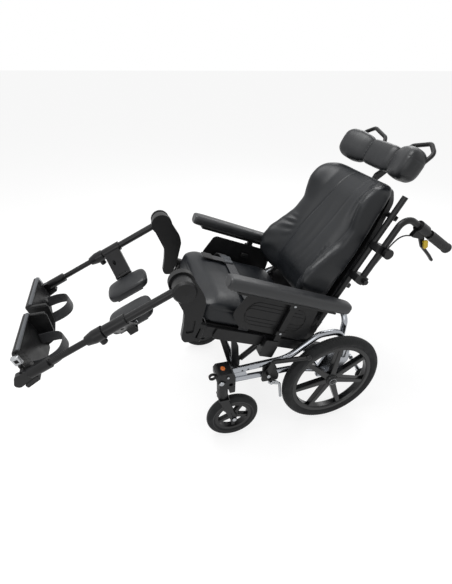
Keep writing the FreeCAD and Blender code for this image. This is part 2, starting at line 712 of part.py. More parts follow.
def back_frame():
    """Back frame: side tubes, cross tubes, hinge ends, handle clamps with their knobs, the
    headrest socket and the recline lever below the hinge."""
    solids = []
    for sign in (1, -1):
        solids.append(bar(place(back, sign * back_tube_x, 26, back_tube_t),
                          place(back, sign * back_tube_x, back_height, back_tube_t), back_tube_r))
        xs = sorted((sign * (rail_x0 + 8.5), sign * (rail_x0 + 17)))
        solids.append(pin(back, 0, 0, xs[0], xs[1], 19.0))
        solids.append(slab(back, ((0, -14), (44, -2), (44, 18), (0, 16)), xs[0], xs[1]))
        xs = sorted((sign * (rail_x0 - 3), sign * (rail_x0 + 16)))
        solids.append(pin(back, 0, 0, xs[0], xs[1], back_pin_r))
        for h in (250.0, 366.0):
            xs = sorted((sign * (back_tube_x - 2), sign * (handle_x + 14)))
            solids.append(slab(back, ((h - 13, -2), (h + 13, -2), (h + 15, handle_t + 15),
                                      (h - 15, handle_t + 15)), xs[0], xs[1], 6.0))
        xs = sorted((sign * (handle_x + 13), sign * (handle_x + 19)))
        solids.append(pin(back, 366.0, handle_t + 6, xs[0], xs[1], 6.0))
        xs = sorted((sign * (handle_x + 18), sign * (handle_x + 32)))
        solids.append(pin(back, 366.0, handle_t + 6, xs[0], xs[1], 17.0))
        xs = sorted((sign * (handle_x + 13), sign * (handle_x + 24)))
        solids.append(pin(back, 250.0, handle_t + 4, xs[0], xs[1], 9.0))
    for h in (205.0, 470.0):
        solids.append(pin(back, h, shell_thickness + 9.3, -back_tube_x + 4, back_tube_x - 4, 9.0))
        for sign in (1, -1):
            xs = sorted((sign * (back_tube_x - 8), sign * (back_tube_x + 2)))
            solids.append(slab(back, ((h - 8, 4), (h + 8, 4), (h + 8, shell_thickness + 14),
                                      (h - 8, shell_thickness + 14)), xs[0], xs[1], 3.0))
    solids.append(slab(back, ((430, 21), (510, 21), (510, post_t + 13), (430, post_t + 13)),
                       -18, 18, 5.0))
    behind = shell_thickness + 2
    for x0 in (-34, 24):
        solids.append(slab(back, ((back_lever_h - 10, -7), (back_lever_h + 12, -8), (-26, behind),
                                  (214, behind), (214, behind + 10), (-34, behind + 12),
                                  (back_lever_h - 10, 8)), x0, x0 + 10, (6, 6, 10, 0, 0, 20, 6)))
    solids.append(pin(back, back_lever_h, 0, -34, 34, spring_pin_r))
    body = joined(solids)
    for sign in (1, -1):
        for h in (250.0, 366.0):
            body = body.cut(bar(place(back, sign * handle_x, h - 30, handle_t),
                                place(back, sign * handle_x, h + 30, handle_t),
                                handle_tube_r + running_gap))
    body = body.cut(bar(place(back, 0, 420, post_t), place(back, 0, 520, post_t),
                        post_r + running_gap))
    return body


def back_shell():
    """Moulded back shell: a shallow tray open to the rear, seated on the cross tubes."""
    outline = ((-18, 0), (back_height + 4, 0), (back_height + 4, shell_thickness),
               (-18, shell_thickness))
    w = shell_half_width
    points = ((-w + 14, -18), (w - 14, -18), (w, 60), (w, 360), (w - 26, back_height - 30),
              (w - 60, back_height + 4), (-w + 60, back_height + 4), (-w + 26, back_height - 30),
              (-w, 360), (-w, 60))
    radii = (20, 20, 60, 120, 50, 30, 30, 50, 120, 60)

    def tray(inset, depth_from, depth_to):
        middle = back_height / 2
        corners = []
        for x, h in points:
            corners.append(place(back, x - math.copysign(inset, x), h + (inset if h < middle else
                                 -inset if h > 400 else 0), depth_from))
        wire = rounded_wire(corners, radii, True)
        push = place(back, 0, 0, depth_to) - place(back, 0, 0, depth_from)
        return Part.Face(wire).extrude(push)

    return tray(0, 0, shell_thickness).cut(tray(shell_wall, shell_wall, shell_thickness + 1))


def back_cushion():
    """Back cushion: narrow at the top, with wide side wings below that hold the trunk."""
    rows = ((62, 188, 110, 66), (95, 199, 148, 80), (150, 203, 164, 86), (200, 203, 158, 82),
            (250, 202, 129, 78), (316, 199, 94, 74), (373, 195, 84, 68), (413, 192, 96, 66),
            (454, 190, 106, 62), (495, 186, 98, 56), (525, 179, 80, 48), (550, 164, 46, 28))
    wires = []
    for h, half, wing, depth in rows:
        spot = lambda x, t, h=h: place(back, x, h, -t)
        rear = skin_gap
        tip = min(16.0, wing * 0.2)
        points = [spot(-half + 12, rear), None,
                  spot(half - 12, rear), spot(half - 3, rear + 4),
                  spot(half, rear + 14), spot(half + 2, wing * 0.55),
                  spot(half - 4, wing - 10), spot(half - 4 - tip, wing),
                  spot(half - 4 - 2 * tip, wing - 8), spot(0, depth),
                  spot(-half + 4 + 2 * tip, wing - 8), spot(-half + 4 + tip, wing),
                  spot(-half + 4, wing - 10), spot(-half - 2, wing * 0.55),
                  spot(-half, rear + 14), spot(-half + 3, rear + 4)]
        wires.append(ring_wire(points))
    return loft(wires)


def push_handle():
    """Push handle tube with its hinge block, brake body and rubber grip."""
    turn = math.tan(math.radians(grip_droop))
    drop = lambda t: handle_top_h - (t - handle_t) * turn * 0.72
    tube = bent_tube([place(back, handle_x, h, t) for h, t in (
        (232.0, handle_t), (handle_top_h, handle_t), (drop(grip_end_t - 6), grip_end_t - 6))],
        38.0, handle_tube_r)
    block = bar(place(back, handle_x, drop(104), 104), place(back, handle_x, drop(146), 146), 19.0)
    body_block = slab(back, ((lever_pivot_h - 20, 100), (drop(112) - 12, 104), (drop(140) - 12, 146),
                             (lever_pivot_h - 10, 150)), handle_x - 8, handle_x + 8, 5.0)
    tube = joined([tube, block, body_block])
    tube = tube.cut(lever_room(back, lever_pivot_h - 2, lever_pivot_t))
    tube = joined([tube, pin(back, lever_pivot_h - 2, lever_pivot_t, handle_x - 8, handle_x + 8, 3.0)])
    grip = bar(place(back, handle_x, drop(grip_start_t), grip_start_t),
               place(back, handle_x, drop(grip_end_t), grip_end_t), grip_r)
    grip = grip.cut(bar(place(back, handle_x, drop(grip_start_t - 9), grip_start_t - 9),
                        place(back, handle_x, drop(grip_end_t - 6), grip_end_t - 6), handle_tube_r))
    return [tube, grip]


def lever_room(frame, u, v):
    """Room in the brake body for the foot of the hand lever."""
    return slab(frame, ((u - 24, v - 12), (u + 11, v - 12), (u + 11, v + 14), (u - 24, v + 14)),
                handle_x - 4.5, handle_x + 4.5)


def hand_lever():
    """Hand lever of the brake below the grip."""
    h0 = lever_pivot_h - 2
    outline = ((h0 + 7, lever_pivot_t - 5), (h0 + 4, lever_pivot_t + 12), (h0 - 24, 178.0),
               (h0 - 40, 232.0), (h0 - 52, 262.0), (h0 - 60, 258.0), (h0 - 48, 226.0),
               (h0 - 33, 172.0), (h0 - 7, lever_pivot_t - 6))
    body = slab(back, outline, handle_x - 4, handle_x + 4, (6, 6, 20, 20, 4, 4, 20, 20, 6))
    return body.cut(pin(back, h0, lever_pivot_t, handle_x - 20, handle_x + 20, 3.0 + running_gap))


def lever_catch():
    """Yellow catch that holds the hand lever as a parking brake."""
    h0 = lever_pivot_h - 2
    outline = ((h0 - 12, 152.0), (h0 - 2, 166.0), (h0 - 22, 186.0), (h0 - 34, 176.0))
    body = slab(back, outline, handle_x + 8.5, handle_x + 14.5, 5.0)
    post = pin(back, h0 - 14, 162.0, handle_x + 4, handle_x + 9, 3.0)
    return joined([body, post])


def brake_cable():
    """Cable from the brake body down the back tube to its clip."""
    points = [place(back, x, h, t) for x, h, t in (
        (handle_x, 446.0, 99.7), (handle_x, 440.0, 74.0), (handle_x - 4, 404.0, 58.0),
        (handle_x - 6, 330.0, 54.0), (handle_x - 8, 290.0, 52.0), (handle_x - 10, 250.0, 50.8))]
    return bent_tube(points, 20.0, 2.5)


def headrest_post():
    """Post of the headrest with its hinge eye."""
    h, t = headrest_pivot_h, headrest_pivot_t
    post = bar(place(back, 0, 422, post_t), place(back, 0, h - 82, post_t), post_r)
    arm = slab(back, ((h - 96, post_t - 6), (h - 74, post_t - 6), (h - 44, t - 16),
                      (h + 8, t - 11), (h + 12, t + 8), (h - 8, t + 11), (h - 52, t + 2),
                      (h - 96, post_t + 8)), -7, 7, (4, 8, 12, 8, 8, 8, 16, 4))
    body = joined([post, arm])
    return body.cut(pin(back, h, t, -20, 20, 5.0 + running_gap))


def headrest_bracket():
    """Bracket behind the headrest cushion, with its hinge pin and the two arched arms that
    hold the wings."""
    h, t = headrest_pivot_h, headrest_pivot_t
    plate_t = headrest_plate_t
    solids = [pin(back, h, t, -16, 16, 5.0)]
    for x0 in (7.5, -12.5):
        solids.append(slab(back, ((h - 9, t + 9), (h - 10, plate_t), (h + 14, plate_t),
                                  (h + 16, t + 4), (h + 8, t + 10)), x0, x0 + 5, (6, 2, 2, 6, 6)))
    solids.append(slab(back, ((h - 28, plate_t), (h + 24, plate_t), (h + 24, plate_t + 5),
                              (h - 28, plate_t + 5)), -52, 52, 2.0))
    for sign in (1, -1):
        solids.append(bent_tube([place(back, sign * x, h + rise, t_arm) for x, rise, t_arm in (
            (40, -6, plate_t + 6), (72, 50, plate_t + 6), (146, 70, plate_t + 2),
            (186, 44, plate_t - 4), (180, -6, plate_t - 21))], 22.0, 7.0))
    return joined(solids)


def headrest_cushion():
    """Headrest: a middle pad and two wings turned in towards the head, grooved between."""
    end = headrest_half_width
    side = ((end, -46, -10, 24), (end - 10, -52, -2, 37), (132, -38, 15, 43), (80, -16, 27, 44),
            (71, -8, 26, 40), (62, -13, 28, 43))
    rows = [(-x, front, rear, tall) for x, front, rear, tall in side]
    rows += [(0, -9, 29, 45)] + list(reversed(side))
    wires = []
    for x, front, rear, tall in rows:
        spot = lambda h, t, x=x: place(back, x, headrest_h + h, t)
        corner = 9.0
        wires.append(ring_wire([
            spot(-tall + corner, rear), None,
            spot(tall - corner, rear), spot(tall - corner * 0.29, rear - corner * 0.29),
            spot(tall, rear - corner), spot(tall + 2, (rear + front) / 2),
            spot(tall, front + corner * 1.6), spot(tall - corner * 0.5, front + corner * 0.5),
            spot(tall - corner * 1.6, front), spot(0, front - 6),
            spot(-tall + corner * 1.6, front), spot(-tall + corner * 0.5, front + corner * 0.5),
            spot(-tall, front + corner * 1.6), spot(-tall - 2, (rear + front) / 2),
            spot(-tall, rear - corner), spot(-tall + corner * 0.29, rear - corner * 0.29)]))
    return loft(wires)


def armrest():
    """Armrest frame: post, pad carrier, brackets and the moulded side panel."""
    half = arm_post_width / 2
    post = slab(seat, ((arm_post_a - half, -6), (arm_post_a + half, -6),
                       (arm_post_a + half, pad_b0 - 6), (arm_post_a - half, pad_b0 - 6)),
                arm_post_x0, arm_post_x1, 2.0)
    carrier = slab(seat, ((-340, pad_b0 - 7), (40, pad_b0 - 7), (40, pad_b0 - skin_gap),
                          (-340, pad_b0 - skin_gap)), 236.0, 268.0, 1.5)
    panel = slab(seat, ((-36, 84), (6, 128), (-20, 214), (-300, 214), (-314, 92), (-292, 72)),
                 panel_x, panel_x + panel_thickness, (30, 24, 22, 22, 10, 10))
    solids = [post, carrier, panel]
    for b in (96.0, 206.0):
        solids.append(slab(seat, ((-208, b - 8), (-172, b - 8), (-172, b + 8), (-208, b + 8)),
                           panel_x + 3, 246.5, 3.0))
    for inset in (0.0, 14.0, 28.0):
        tall = 46.0 - inset
        outer = slab(seat, stadium(-154, 146, 118.0, tall), panel_x + 3, panel_x + 5.5, tall * 0.9)
        inner = slab(seat, stadium(-154, 146, 118.0, tall - 3), panel_x + 2, panel_x + 7,
                     (tall - 3) * 0.9)
        solids.append(outer.cut(inner))
    return joined(solids)


def arm_pad():
    """Moulded armrest pad with a rounded nose."""
    sections = ((pad_rear_a, 20, 8, 8, 12), (pad_rear_a + 14, 26, 0, 3, 14),
                (-300, 28, 0, 0, 14), (-100, 28, 0, 0, 14), (20, 28, 0, 0, 14),
                (pad_front_a - 18, 27, 1, 1, 14), (pad_front_a, 20, 9, 9, 12))
    wires = []
    for a, half, lift, drop, corner in sections:
        spot = lambda x, b, a=a: place(seat, pad_x + x, a, b)
        wires.append(pad_wire(spot, half, pad_b0 + lift, pad_b1 - drop, 4.0, corner, 1.0))
    return loft(wires)


def hanger():
    """Legrest hanger: curved arm from the swing-away hinge up to the knee joint."""
    knee = place(leg, 0, 0, 0)
    local = lambda f, z: ((f - seat_origin_f) * math.cos(math.radians(seat_tilt))
                          + (z - seat_origin_z) * math.sin(math.radians(seat_tilt)),
                          -(f - seat_origin_f) * math.sin(math.radians(seat_tilt))
                          + (z - seat_origin_z) * math.cos(math.radians(seat_tilt)))
    knee_a, knee_b = local(rear_axle_y - knee.y, knee.z)
    x0, x1 = 214.0, 236.0
    arm = slab(seat, ((101, 4), (128, -4), (142, 8), (152, 60), (164, 104), (knee_a + 22, knee_b - 30),
                      (knee_a - 26, knee_b + 24), (122, 176), (108, 150), (97, 60)),
               x0, x1, (10, 12, 14, 60, 60, 6, 6, 40, 40, 60))
    head = pin(leg, 0, 0, x0, x1, 40.0)
    axle = pin(leg, 0, 0, x1 - 2, 292.0, knee_pin_r)
    cap = turned(0, knee_f, knee_z, ((276.0, 0), (276.0, 35), (282.0, 36), (290.0, 31), (293.0, 0)))
    solids = [arm, head, axle, cap]
    for b0, b1 in ((5.0, rail_b0 - free_gap), (rail_b1 + free_gap, 73.0)):
        solids.append(bar(place(seat, swing_pin_x, swing_pin_a, b0),
                          place(seat, swing_pin_x, swing_pin_a, b1), 10.0))
        solids.append(slab(seat, ((swing_pin_a, b0), (112, b0), (112, b1), (swing_pin_a, b1)),
                           swing_pin_x - 9, swing_pin_x + 9))
    solids.append(bar(place(seat, swing_pin_x, swing_pin_a, 6), place(seat, swing_pin_x, swing_pin_a, 72),
                      swing_pin_r))
    body = joined(solids)
    slot = slab(seat, ((112, 40), (136, 30), (144, 78), (120, 88)), x1 - 5, x1 + 1, 6.0)
    return body.cut(slot)


def leg_tube():
    """Upper leg tube with the knee hub, length clamp and the calf bracket."""
    hub = disc(leg, 0, 0, 237.0, 275.0, knee_hub_r, knee_pin_r)
    tube = bar(place(leg, leg_tube_x, 10, 0), place(leg, leg_tube_x, leg_tube_length, 0), leg_tube_r)
    clamp = bar(place(leg, leg_tube_x, 190, 0), place(leg, leg_tube_x, 262, 0), 18.0)
    collar = bar(place(leg, leg_tube_x, 266, 0), place(leg, leg_tube_x, 296, 0), 21.0)
    along = place(leg, 0, 1, 0) - place(leg, 0, 0, 0)
    cone = Part.makeCone(21.0, 15.0, 26.0, place(leg, leg_tube_x, 296, 0), along)
    screw = bar(place(leg, leg_tube_x, 284, -16), place(leg, leg_tube_x, 284, -34), 11.0)
    outline = ((leg_tube_x - 4, -10.0), (leg_tube_x - 16, 2.0), (calf_hinge_x - 5, calf_hinge_n + 3),
               (calf_hinge_x + 5, calf_hinge_n - 5))
    corners = [place(leg, x, 196.0, n) for x, n in outline]
    plate = Part.Face(Part.makePolygon(corners + [corners[0]]))
    plate = plate.extrude(along * 64.0)
    plate = plate.cut(bar(place(leg, 216, 238, 40), place(leg, 190, 238, -110), 6.0))
    solids = [hub, tube, clamp, collar, cone, screw, plate]
    for s0, s1 in ((196.0, 212.0), (244.0, 260.0)):
        solids.append(bar(place(leg, calf_hinge_x, s0, calf_hinge_n),
                          place(leg, calf_hinge_x, s1, calf_hinge_n), 8.0))
    body = joined(solids)
    gap = place(leg, calf_hinge_x, 212.0 - free_gap, calf_hinge_n)
    room = Part.makeCylinder(10.0, 32.0 + 2 * free_gap, gap, along)
    body = body.cut(room)
    body = body.cut(bar(place(leg, calf_hinge_x, 190, calf_hinge_n),
                        place(leg, calf_hinge_x, 265, calf_hinge_n), 3.0 + running_gap))
    body = body.cut(bar(place(leg, leg_tube_x, 64, 0), place(leg, leg_tube_x, 330, 0),
                        foot_tube_r + running_gap))
    return body.cut(pin(leg, 0, 0, 230, 280, knee_pin_r + running_gap))


def foot_tube():
    """Sliding foot tube with its stop notches, sleeve and footplate hinge bracket."""
    tube = bar(place(leg, leg_tube_x, 130, 0), place(leg, leg_tube_x, foot_tube_end, 0), foot_tube_r)
    for k in range(20):
        s = 334.0 + k * 5.5
        tube = tube.cut(slab(leg, ((s, 8.4), (s + 2.2, 8.4), (s + 2.2, 12), (s, 12)),
                             leg_tube_x - 12, leg_tube_x + 12))
    sleeve = bar(place(leg, leg_tube_x, 446, 0), place(leg, leg_tube_x, 512, 0), 17.0)
    fork = slab(leg, ((508, -16), (566, -24), (574, -8), (552, 18), (508, 14)),
                leg_tube_x - 10, leg_tube_x + 8, (3, 12, 12, 10, 3))
    block = slab(leg, ((500, -30), (548, -36), (548, -22), (500, -14)), leg_tube_x - 14,
                 leg_tube_x + 10, 4.0)
    body = joined([tube, sleeve, fork, block])
    toe = place(footplate_line, 0, 1, 0) - place(footplate_line, 0, 0, 0)
    hinge = place(footplate_line, foot_hinge_x, -34.0, foot_hinge_v)
    solids = [body]
    for offset in (0.0, 38.0):
        start = hinge + toe * offset
        solids.append(Part.makeCylinder(7.0, 22.0, start, toe))
        solids.append(bar(start + toe * 11, start + toe * 11 + Vector(leg_tube_x - foot_hinge_x, 0, 0),
                          5.0))
    body = joined(solids)
    return body.cut(Part.makeCylinder(3.0 + running_gap, 90.0, hinge - toe * 10, toe))


hinge_point = (knee_f + foot_hinge_s * math.cos(math.radians(leg_drop)),
               knee_z - foot_hinge_s * math.sin(math.radians(leg_drop)))
footplate_line = (hinge_point[0], hinge_point[1], foot_plate_angle)


def footplate():
    """Footplate with a toe lip, a raised inner side with a rolled edge and its hinge knuckle."""
    thick = foot_plate_thickness
    heel, toe_u = foot_plate_heel, foot_plate_toe
    x0, x1 = foot_plate_x0, foot_plate_x1
    corners = [place(footplate_line, x, u, -thick) for x, u in (
        (x0, toe_u), (x1, toe_u), (x1, -36), (x1 - 90, heel + 6), (x0, heel))]
    up = place(footplate_line, 0, 0, 0) - place(footplate_line, 0, 0, -thick)
    plate = Part.Face(rounded_wire(corners, [4, 10, 14, 40, 14], True)).extrude(up)
    lip = slab(footplate_line, ((toe_u - 6, -thick), (toe_u + 4, -thick + 4), (toe_u + 4, 12.0),
                                (toe_u - 3, 12.0), (toe_u - 6, 0)), x0, x1 - 6, (0, 3, 3, 3, 0))
    side = slab(footplate_line, ((toe_u - 2, -thick), (toe_u - 12, 46), (toe_u - 24, 60),
                                 (-30, 46), (heel + 20, 24), (heel + 8, -thick)),
                x0, x0 + 6, (3, 12, 14, 40, 14, 4))
    roll = bar(place(footplate_line, x0 + 3, toe_u - 5, 4), place(footplate_line, x0 + 3, toe_u - 19, 56),
               6.0)
    toe = place(footplate_line, 0, 1, 0) - place(footplate_line, 0, 0, 0)
    start = place(footplate_line, foot_hinge_x, -34.0, foot_hinge_v)
    knuckle_start = start + toe * (22.0 + free_gap)
    knuckle = Part.makeCylinder(7.0, 16.0 - 2 * free_gap, knuckle_start, toe)
    web = slab(footplate_line, ((-34 + 22 + free_gap, -thick), (-34 + 38 - free_gap, -thick),
                                (-34 + 38 - free_gap, 0), (-34 + 22 + free_gap, 0)),
               x1 - 2, foot_hinge_x)
    hinge_pin = Part.makeCylinder(foot_hinge_pin_r, 60.0, start, toe)
    return joined([plate, lip, side, roll, knuckle, web, hinge_pin])


def heel_strap():
    """Heel strap looped behind the heel from the footplate's outer to its inner end."""
    start_u = heel_strap_u
    route = [place(footplate_line, x, start_u, v) for x, v in (
        (196.0, 0.2), (200.0, 52.0), (164.0, 90.0), (108.0, 96.0), (62.0, 70.0), (48.0, 0.2))]
    across = place(footplate_line, 0, start_u + heel_strap_width, 0) - place(footplate_line, 0, start_u, 0)
    return strap(route, (0, 22, 30, 40, 22, 0), belt_thickness, across)


def calf_pad():
    """Calf pad: crowned pad with rounded ends, and its carrier with the hinge pin."""
    low = calf_pad_n - calf_pad_thickness
    half_width = calf_pad_half_width
    first, last = calf_pad_s0, calf_pad_s1
    sections = ((first, half_width - 18, 8, 8, 8), (first + 12, half_width - 6, 1, 4, 14),
                (first + 42, half_width, 0, 0, 14), ((first + last) / 2, half_width - 1, 0, 0, 14),
                (last - 42, half_width, 0, 0, 14), (last - 12, half_width - 6, 1, 4, 14),
                (last, half_width - 18, 8, 8, 8))
    wires = []
    for s, half, lift, drop, corner in sections:
        spot = lambda x, n, s=s: place(leg, calf_pad_x + x, s, n)
        wires.append(pad_wire(spot, half, low + lift, calf_pad_n - drop - 4, 4.0, corner, 1.5))
    pad = loft(wires)
    along = place(leg, 0, 1, 0) - place(leg, 0, 0, 0)
    under = low - skin_gap
    start, length = calf_knuckle_s0 + free_gap, calf_knuckle_s1 - calf_knuckle_s0 - 2 * free_gap
    plate = slab(leg, ((first + 32, under), (last - 24, under), (last - 24, under - 5),
                       (first + 32, under - 5)), calf_pad_x - 40, calf_pad_x + 40, 1.5)
    outline = ((calf_pad_x + 30, under), (calf_pad_x + 30, under - 5), (calf_hinge_x - 1, under - 5),
               (calf_hinge_x + 5, calf_hinge_n), (calf_hinge_x - 5, calf_hinge_n),
               (calf_pad_x + half_width + 8, under))
    corners = [place(leg, x, start, n) for x, n in outline]
    arm = Part.Face(Part.makePolygon(corners + [corners[0]])).extrude(along * length)
    knuckle = Part.makeCylinder(8.0, length, place(leg, calf_hinge_x, start, calf_hinge_n), along)
    hinge_pin = bar(place(leg, calf_hinge_x, calf_knuckle_s0 - 18, calf_hinge_n),
                    place(leg, calf_hinge_x, calf_knuckle_s1 + 18, calf_hinge_n), calf_pin_r)
    return [pad, joined([plate, arm, knuckle, hinge_pin])]


def build():
    frame = side_frame()
    both("side_frame", frame)
    nodes["cross_members"] = cross_members([frame, mirrored(frame)])
    nodes["castor_housings"] = pair(castor_housing().cut(frame))
    nodes["tilt_struts"] = pair(tilt_strut())
    clamp = brake_clamp()
    nodes["brake_clamps"] = pair(clamp)
    both("rear_wheel", rear_wheel())
    both("rear_tyre", rear_tyre())
    both("castor_fork", castor_fork())
    both_lists("castor_wheel", castor_wheel())
    both("brake_lever", brake_lever())
    both("brake_shoe", brake_shoe())
    for sign, side in sides:
        nodes["anti_tip_arm_" + side] = [anti_tip_arm(sign)]
    both("anti_tip_wheel", anti_tip_wheel())
    nodes["seat_frame"] = [seat_frame()]
    nodes["seat_board"] = [seat_board()]
    nodes["seat_cushion"] = [seat_cushion()]
    nodes["seat_side_covers"] = pair(side_cover())
    nodes["lap_belt"] = [lap_belt()]
    barrel, rod = gas_spring(place(ground, tilt_spring_x, tilt_spring_f, tilt_spring_z),
                             place(seat, tilt_spring_x, tilt_spring_a, tilt_spring_b), open_eye_gap,
                             tilt_rod_start)
    nodes["tilt_spring_barrels"] = pair(barrel)
    nodes["tilt_spring_rods"] = pair(rod)
    barrel, rod = gas_spring(place(seat, 0, recline_spring_a, recline_spring_b),
                             place(back, 0, back_lever_h, 0), open_eye_gap, recline_rod_start)
    nodes["recline_spring_barrel"] = [barrel]
    nodes["recline_spring_rod"] = [rod]
    nodes["back_frame"] = [back_frame()]
    nodes["back_shell"] = [back_shell()]
    nodes["back_cushion"] = [back_cushion()]
    both_lists("push_handle", push_handle())
    both("hand_lever", hand_lever())
    both("lever_catch", lever_catch())
    nodes["brake_cables"] = pair(brake_cable())
    nodes["headrest_post"] = [headrest_post()]
    nodes["headrest_bracket"] = [headrest_bracket()]
    nodes["headrest_cushion"] = [headrest_cushion()]
    both("armrest", armrest())
    both("arm_pad", arm_pad())
    both("hanger", hanger())
    both("leg_tube", leg_tube())
    both("foot_tube", foot_tube())
    both_lists("calf_pad", calf_pad())
    both("footplate", footplate())
    both("heel_strap", heel_strap())


build()
os.makedirs("parts", exist_ok=True)
for name, solids in nodes.items():
    shape = solids[0] if len(solids) == 1 else Part.makeCompound(solids)
    shape.exportStep("parts/" + name + ".step")
    print(name, len(shape.Solids), round(shape.Volume), shape.isValid())
whole = Part.makeCompound([item for solids in nodes.values() for item in solids])
box = whole.optimalBoundingBox(False, False)
print(len(nodes), "nodes", [round(value, 1) for value in (box.XMin, box.XMax, box.YMin, box.YMax,
                                                          box.ZMin, box.ZMax)])
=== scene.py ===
import math

import bpy
import numpy as np
from mathutils import Matrix, Vector


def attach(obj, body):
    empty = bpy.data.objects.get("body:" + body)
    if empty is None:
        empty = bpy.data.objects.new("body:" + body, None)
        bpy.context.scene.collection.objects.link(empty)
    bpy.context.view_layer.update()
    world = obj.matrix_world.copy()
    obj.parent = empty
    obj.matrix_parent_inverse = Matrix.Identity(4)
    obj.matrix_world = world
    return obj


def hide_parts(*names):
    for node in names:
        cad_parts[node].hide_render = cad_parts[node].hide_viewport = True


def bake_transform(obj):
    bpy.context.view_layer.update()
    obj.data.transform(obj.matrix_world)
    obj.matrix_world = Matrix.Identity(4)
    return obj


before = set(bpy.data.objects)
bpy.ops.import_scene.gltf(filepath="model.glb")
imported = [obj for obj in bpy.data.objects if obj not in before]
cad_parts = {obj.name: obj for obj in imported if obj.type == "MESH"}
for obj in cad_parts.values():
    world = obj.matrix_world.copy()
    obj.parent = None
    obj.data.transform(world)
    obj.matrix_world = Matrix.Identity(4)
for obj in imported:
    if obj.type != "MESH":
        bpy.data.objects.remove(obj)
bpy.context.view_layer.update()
scene = bpy.context.scene
print("frame loaded,", len(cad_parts), "nodes")

# side view lines, as in the solids: forward of the rear axle and height of the origin in mm, slope in degrees
rearAxleY = 328.2
lines = {
    "ground": (0.0, 0.0, 0.0),
    "seat": (430.0, 420.0, 22.0),        # u forward along the seat, v square up from it
    "back": (75.0, 400.0, 117.0),        # u up along the back, v to the rear
    "leg": (545.0, 685.0, -26.0),        # u down along the leg, v on the shin side
    "foot": (1021.36, 452.66, 73.0),     # u towards the toe, v towards the user
}


def place(name, x, u, v):
    # millimetres in a side view's lines to metres in the chair's frame, for numbers and for whole arrays
    f0, z0, slope = lines[name]
    turn = math.radians(slope)
    x, u, v = np.broadcast_arrays(np.asarray(x, float), np.asarray(u, float), np.asarray(v, float))
    f = f0 + u * math.cos(turn) - v * math.sin(turn)
    z = z0 + u * math.sin(turn) + v * math.cos(turn)
    return np.stack([x, rearAxleY - f, z], axis=-1) / 1000


def unplace(name, points):
    # the way back, metres to x, u, v in millimetres
    f0, z0, slope = lines[name]
    turn = math.radians(slope)
    p = np.asarray(points, float) * 1000
    f = rearAxleY - p[..., 1] - f0
    z = p[..., 2] - z0
    return p[..., 0], f * math.cos(turn) + z * math.sin(turn), z * math.cos(turn) - f * math.sin(turn)


def across(name, u, v):
    # unit vector of a direction in a side view's lines
    d = place(name, 0, u, v) - place(name, 0, 0, 0)
    return d / np.linalg.norm(d)


# finishes

def linear(hexColour):
    # sRGB hex to linear colour
    s = np.array([int(hexColour[i:i + 2], 16) for i in (1, 3, 5)]) / 255
    c = np.where(s <= 0.04045, s / 12.92, ((s + 0.055) / 1.055) ** 2.4)
    return (float(c[0]), float(c[1]), float(c[2]), 1.0)


def addNode(tree, kind, settings=None, values=None, links=None):
    # one node with its settings, its input values and what feeds its inputs
    node = tree.nodes.new(kind)
    for key, value in (settings or {}).items():
        setattr(node, key, value)
    for key, value in (values or {}).items():
        node.inputs[key].default_value = value
    for key, source in (links or {}).items():
        tree.links.new(source, node.inputs[key])
    return node


def makeFinish(name, look):
    # cloudy colour and gloss, a fine relief at a real size, softened edges on moulded and bent pieces
    material = bpy.data.materials.new(name)
    material.use_nodes = True
    tree = material.node_tree
    tree.nodes.clear()
    spot = addNode(tree, "ShaderNodeTexCoord").outputs["Object"]
    cloud = addNode(tree, "ShaderNodeTexNoise", values={"Scale": 1000 / look["cloudMm"], "Detail": 3.0},
                    links={"Vector": spot}).outputs["Fac"]
    tint = addNode(tree, "ShaderNodeMix", {"data_type": "RGBA"}, {6: linear(look["colour"]), 7: linear(look["worn"])},
                   {0: cloud})
    gloss = addNode(tree, "ShaderNodeMapRange",
                    values={"From Min": 0.3, "From Max": 0.7, "To Min": look["rough"] - look["roughSpread"],
                            "To Max": look["rough"] + look["roughSpread"]}, links={"Value": cloud})
    pattern = look.get("pattern", "grain")
    if pattern == "grain":
        relief = addNode(tree, "ShaderNodeTexNoise", values={"Scale": 1000 / look["grainMm"], "Detail": 4.0},
                         links={"Vector": spot}).outputs["Fac"]
    elif pattern == "pebble":
        relief = addNode(tree, "ShaderNodeTexVoronoi", {"feature": "SMOOTH_F1"}, {"Scale": 1000 / look["grainMm"]},
                         {"Vector": spot}).outputs["Distance"]
    else:
        # threads: two sets of bands, period 0.314 / scale metres
        warp = addNode(tree, "ShaderNodeTexWave", {"bands_direction": look["bands"][0]},
                       {"Scale": 314 / look["grainMm"], "Distortion": 0.4}, {"Vector": spot}).outputs["Fac"]
        weft = addNode(tree, "ShaderNodeTexWave", {"bands_direction": look["bands"][1]},
                       {"Scale": 314 / look["grainMm"], "Distortion": 0.4}, {"Vector": spot}).outputs["Fac"]
        relief = addNode(tree, "ShaderNodeMath", {"operation": "ADD"}, links={0: warp, 1: weft}).outputs[0]
    bump = addNode(tree, "ShaderNodeBump", values={"Strength": 0.5, "Distance": look["grainDepth"] / 1000},
                   links={"Height": relief})
    if look.get("edgeMm"):
        soft = addNode(tree, "ShaderNodeBevel", {"samples": 4}, {"Radius": look["edgeMm"] / 1000})
        tree.links.new(soft.outputs[0], bump.inputs["Normal"])
    shader = addNode(tree, "ShaderNodeBsdfPrincipled",
                     values={"Metallic": look.get("metal", 0.0), "Specular IOR Level": look.get("specular", 0.5),
                             "Sheen Weight": look.get("sheen", 0.0), "Sheen Roughness": 0.5},
                     links={"Base Color": tint.outputs[2], "Roughness": gloss.outputs[0], "Normal": bump.outputs[0]})
    addNode(tree, "ShaderNodeOutputMaterial", links={"Surface": shader.outputs[0]})
    return material


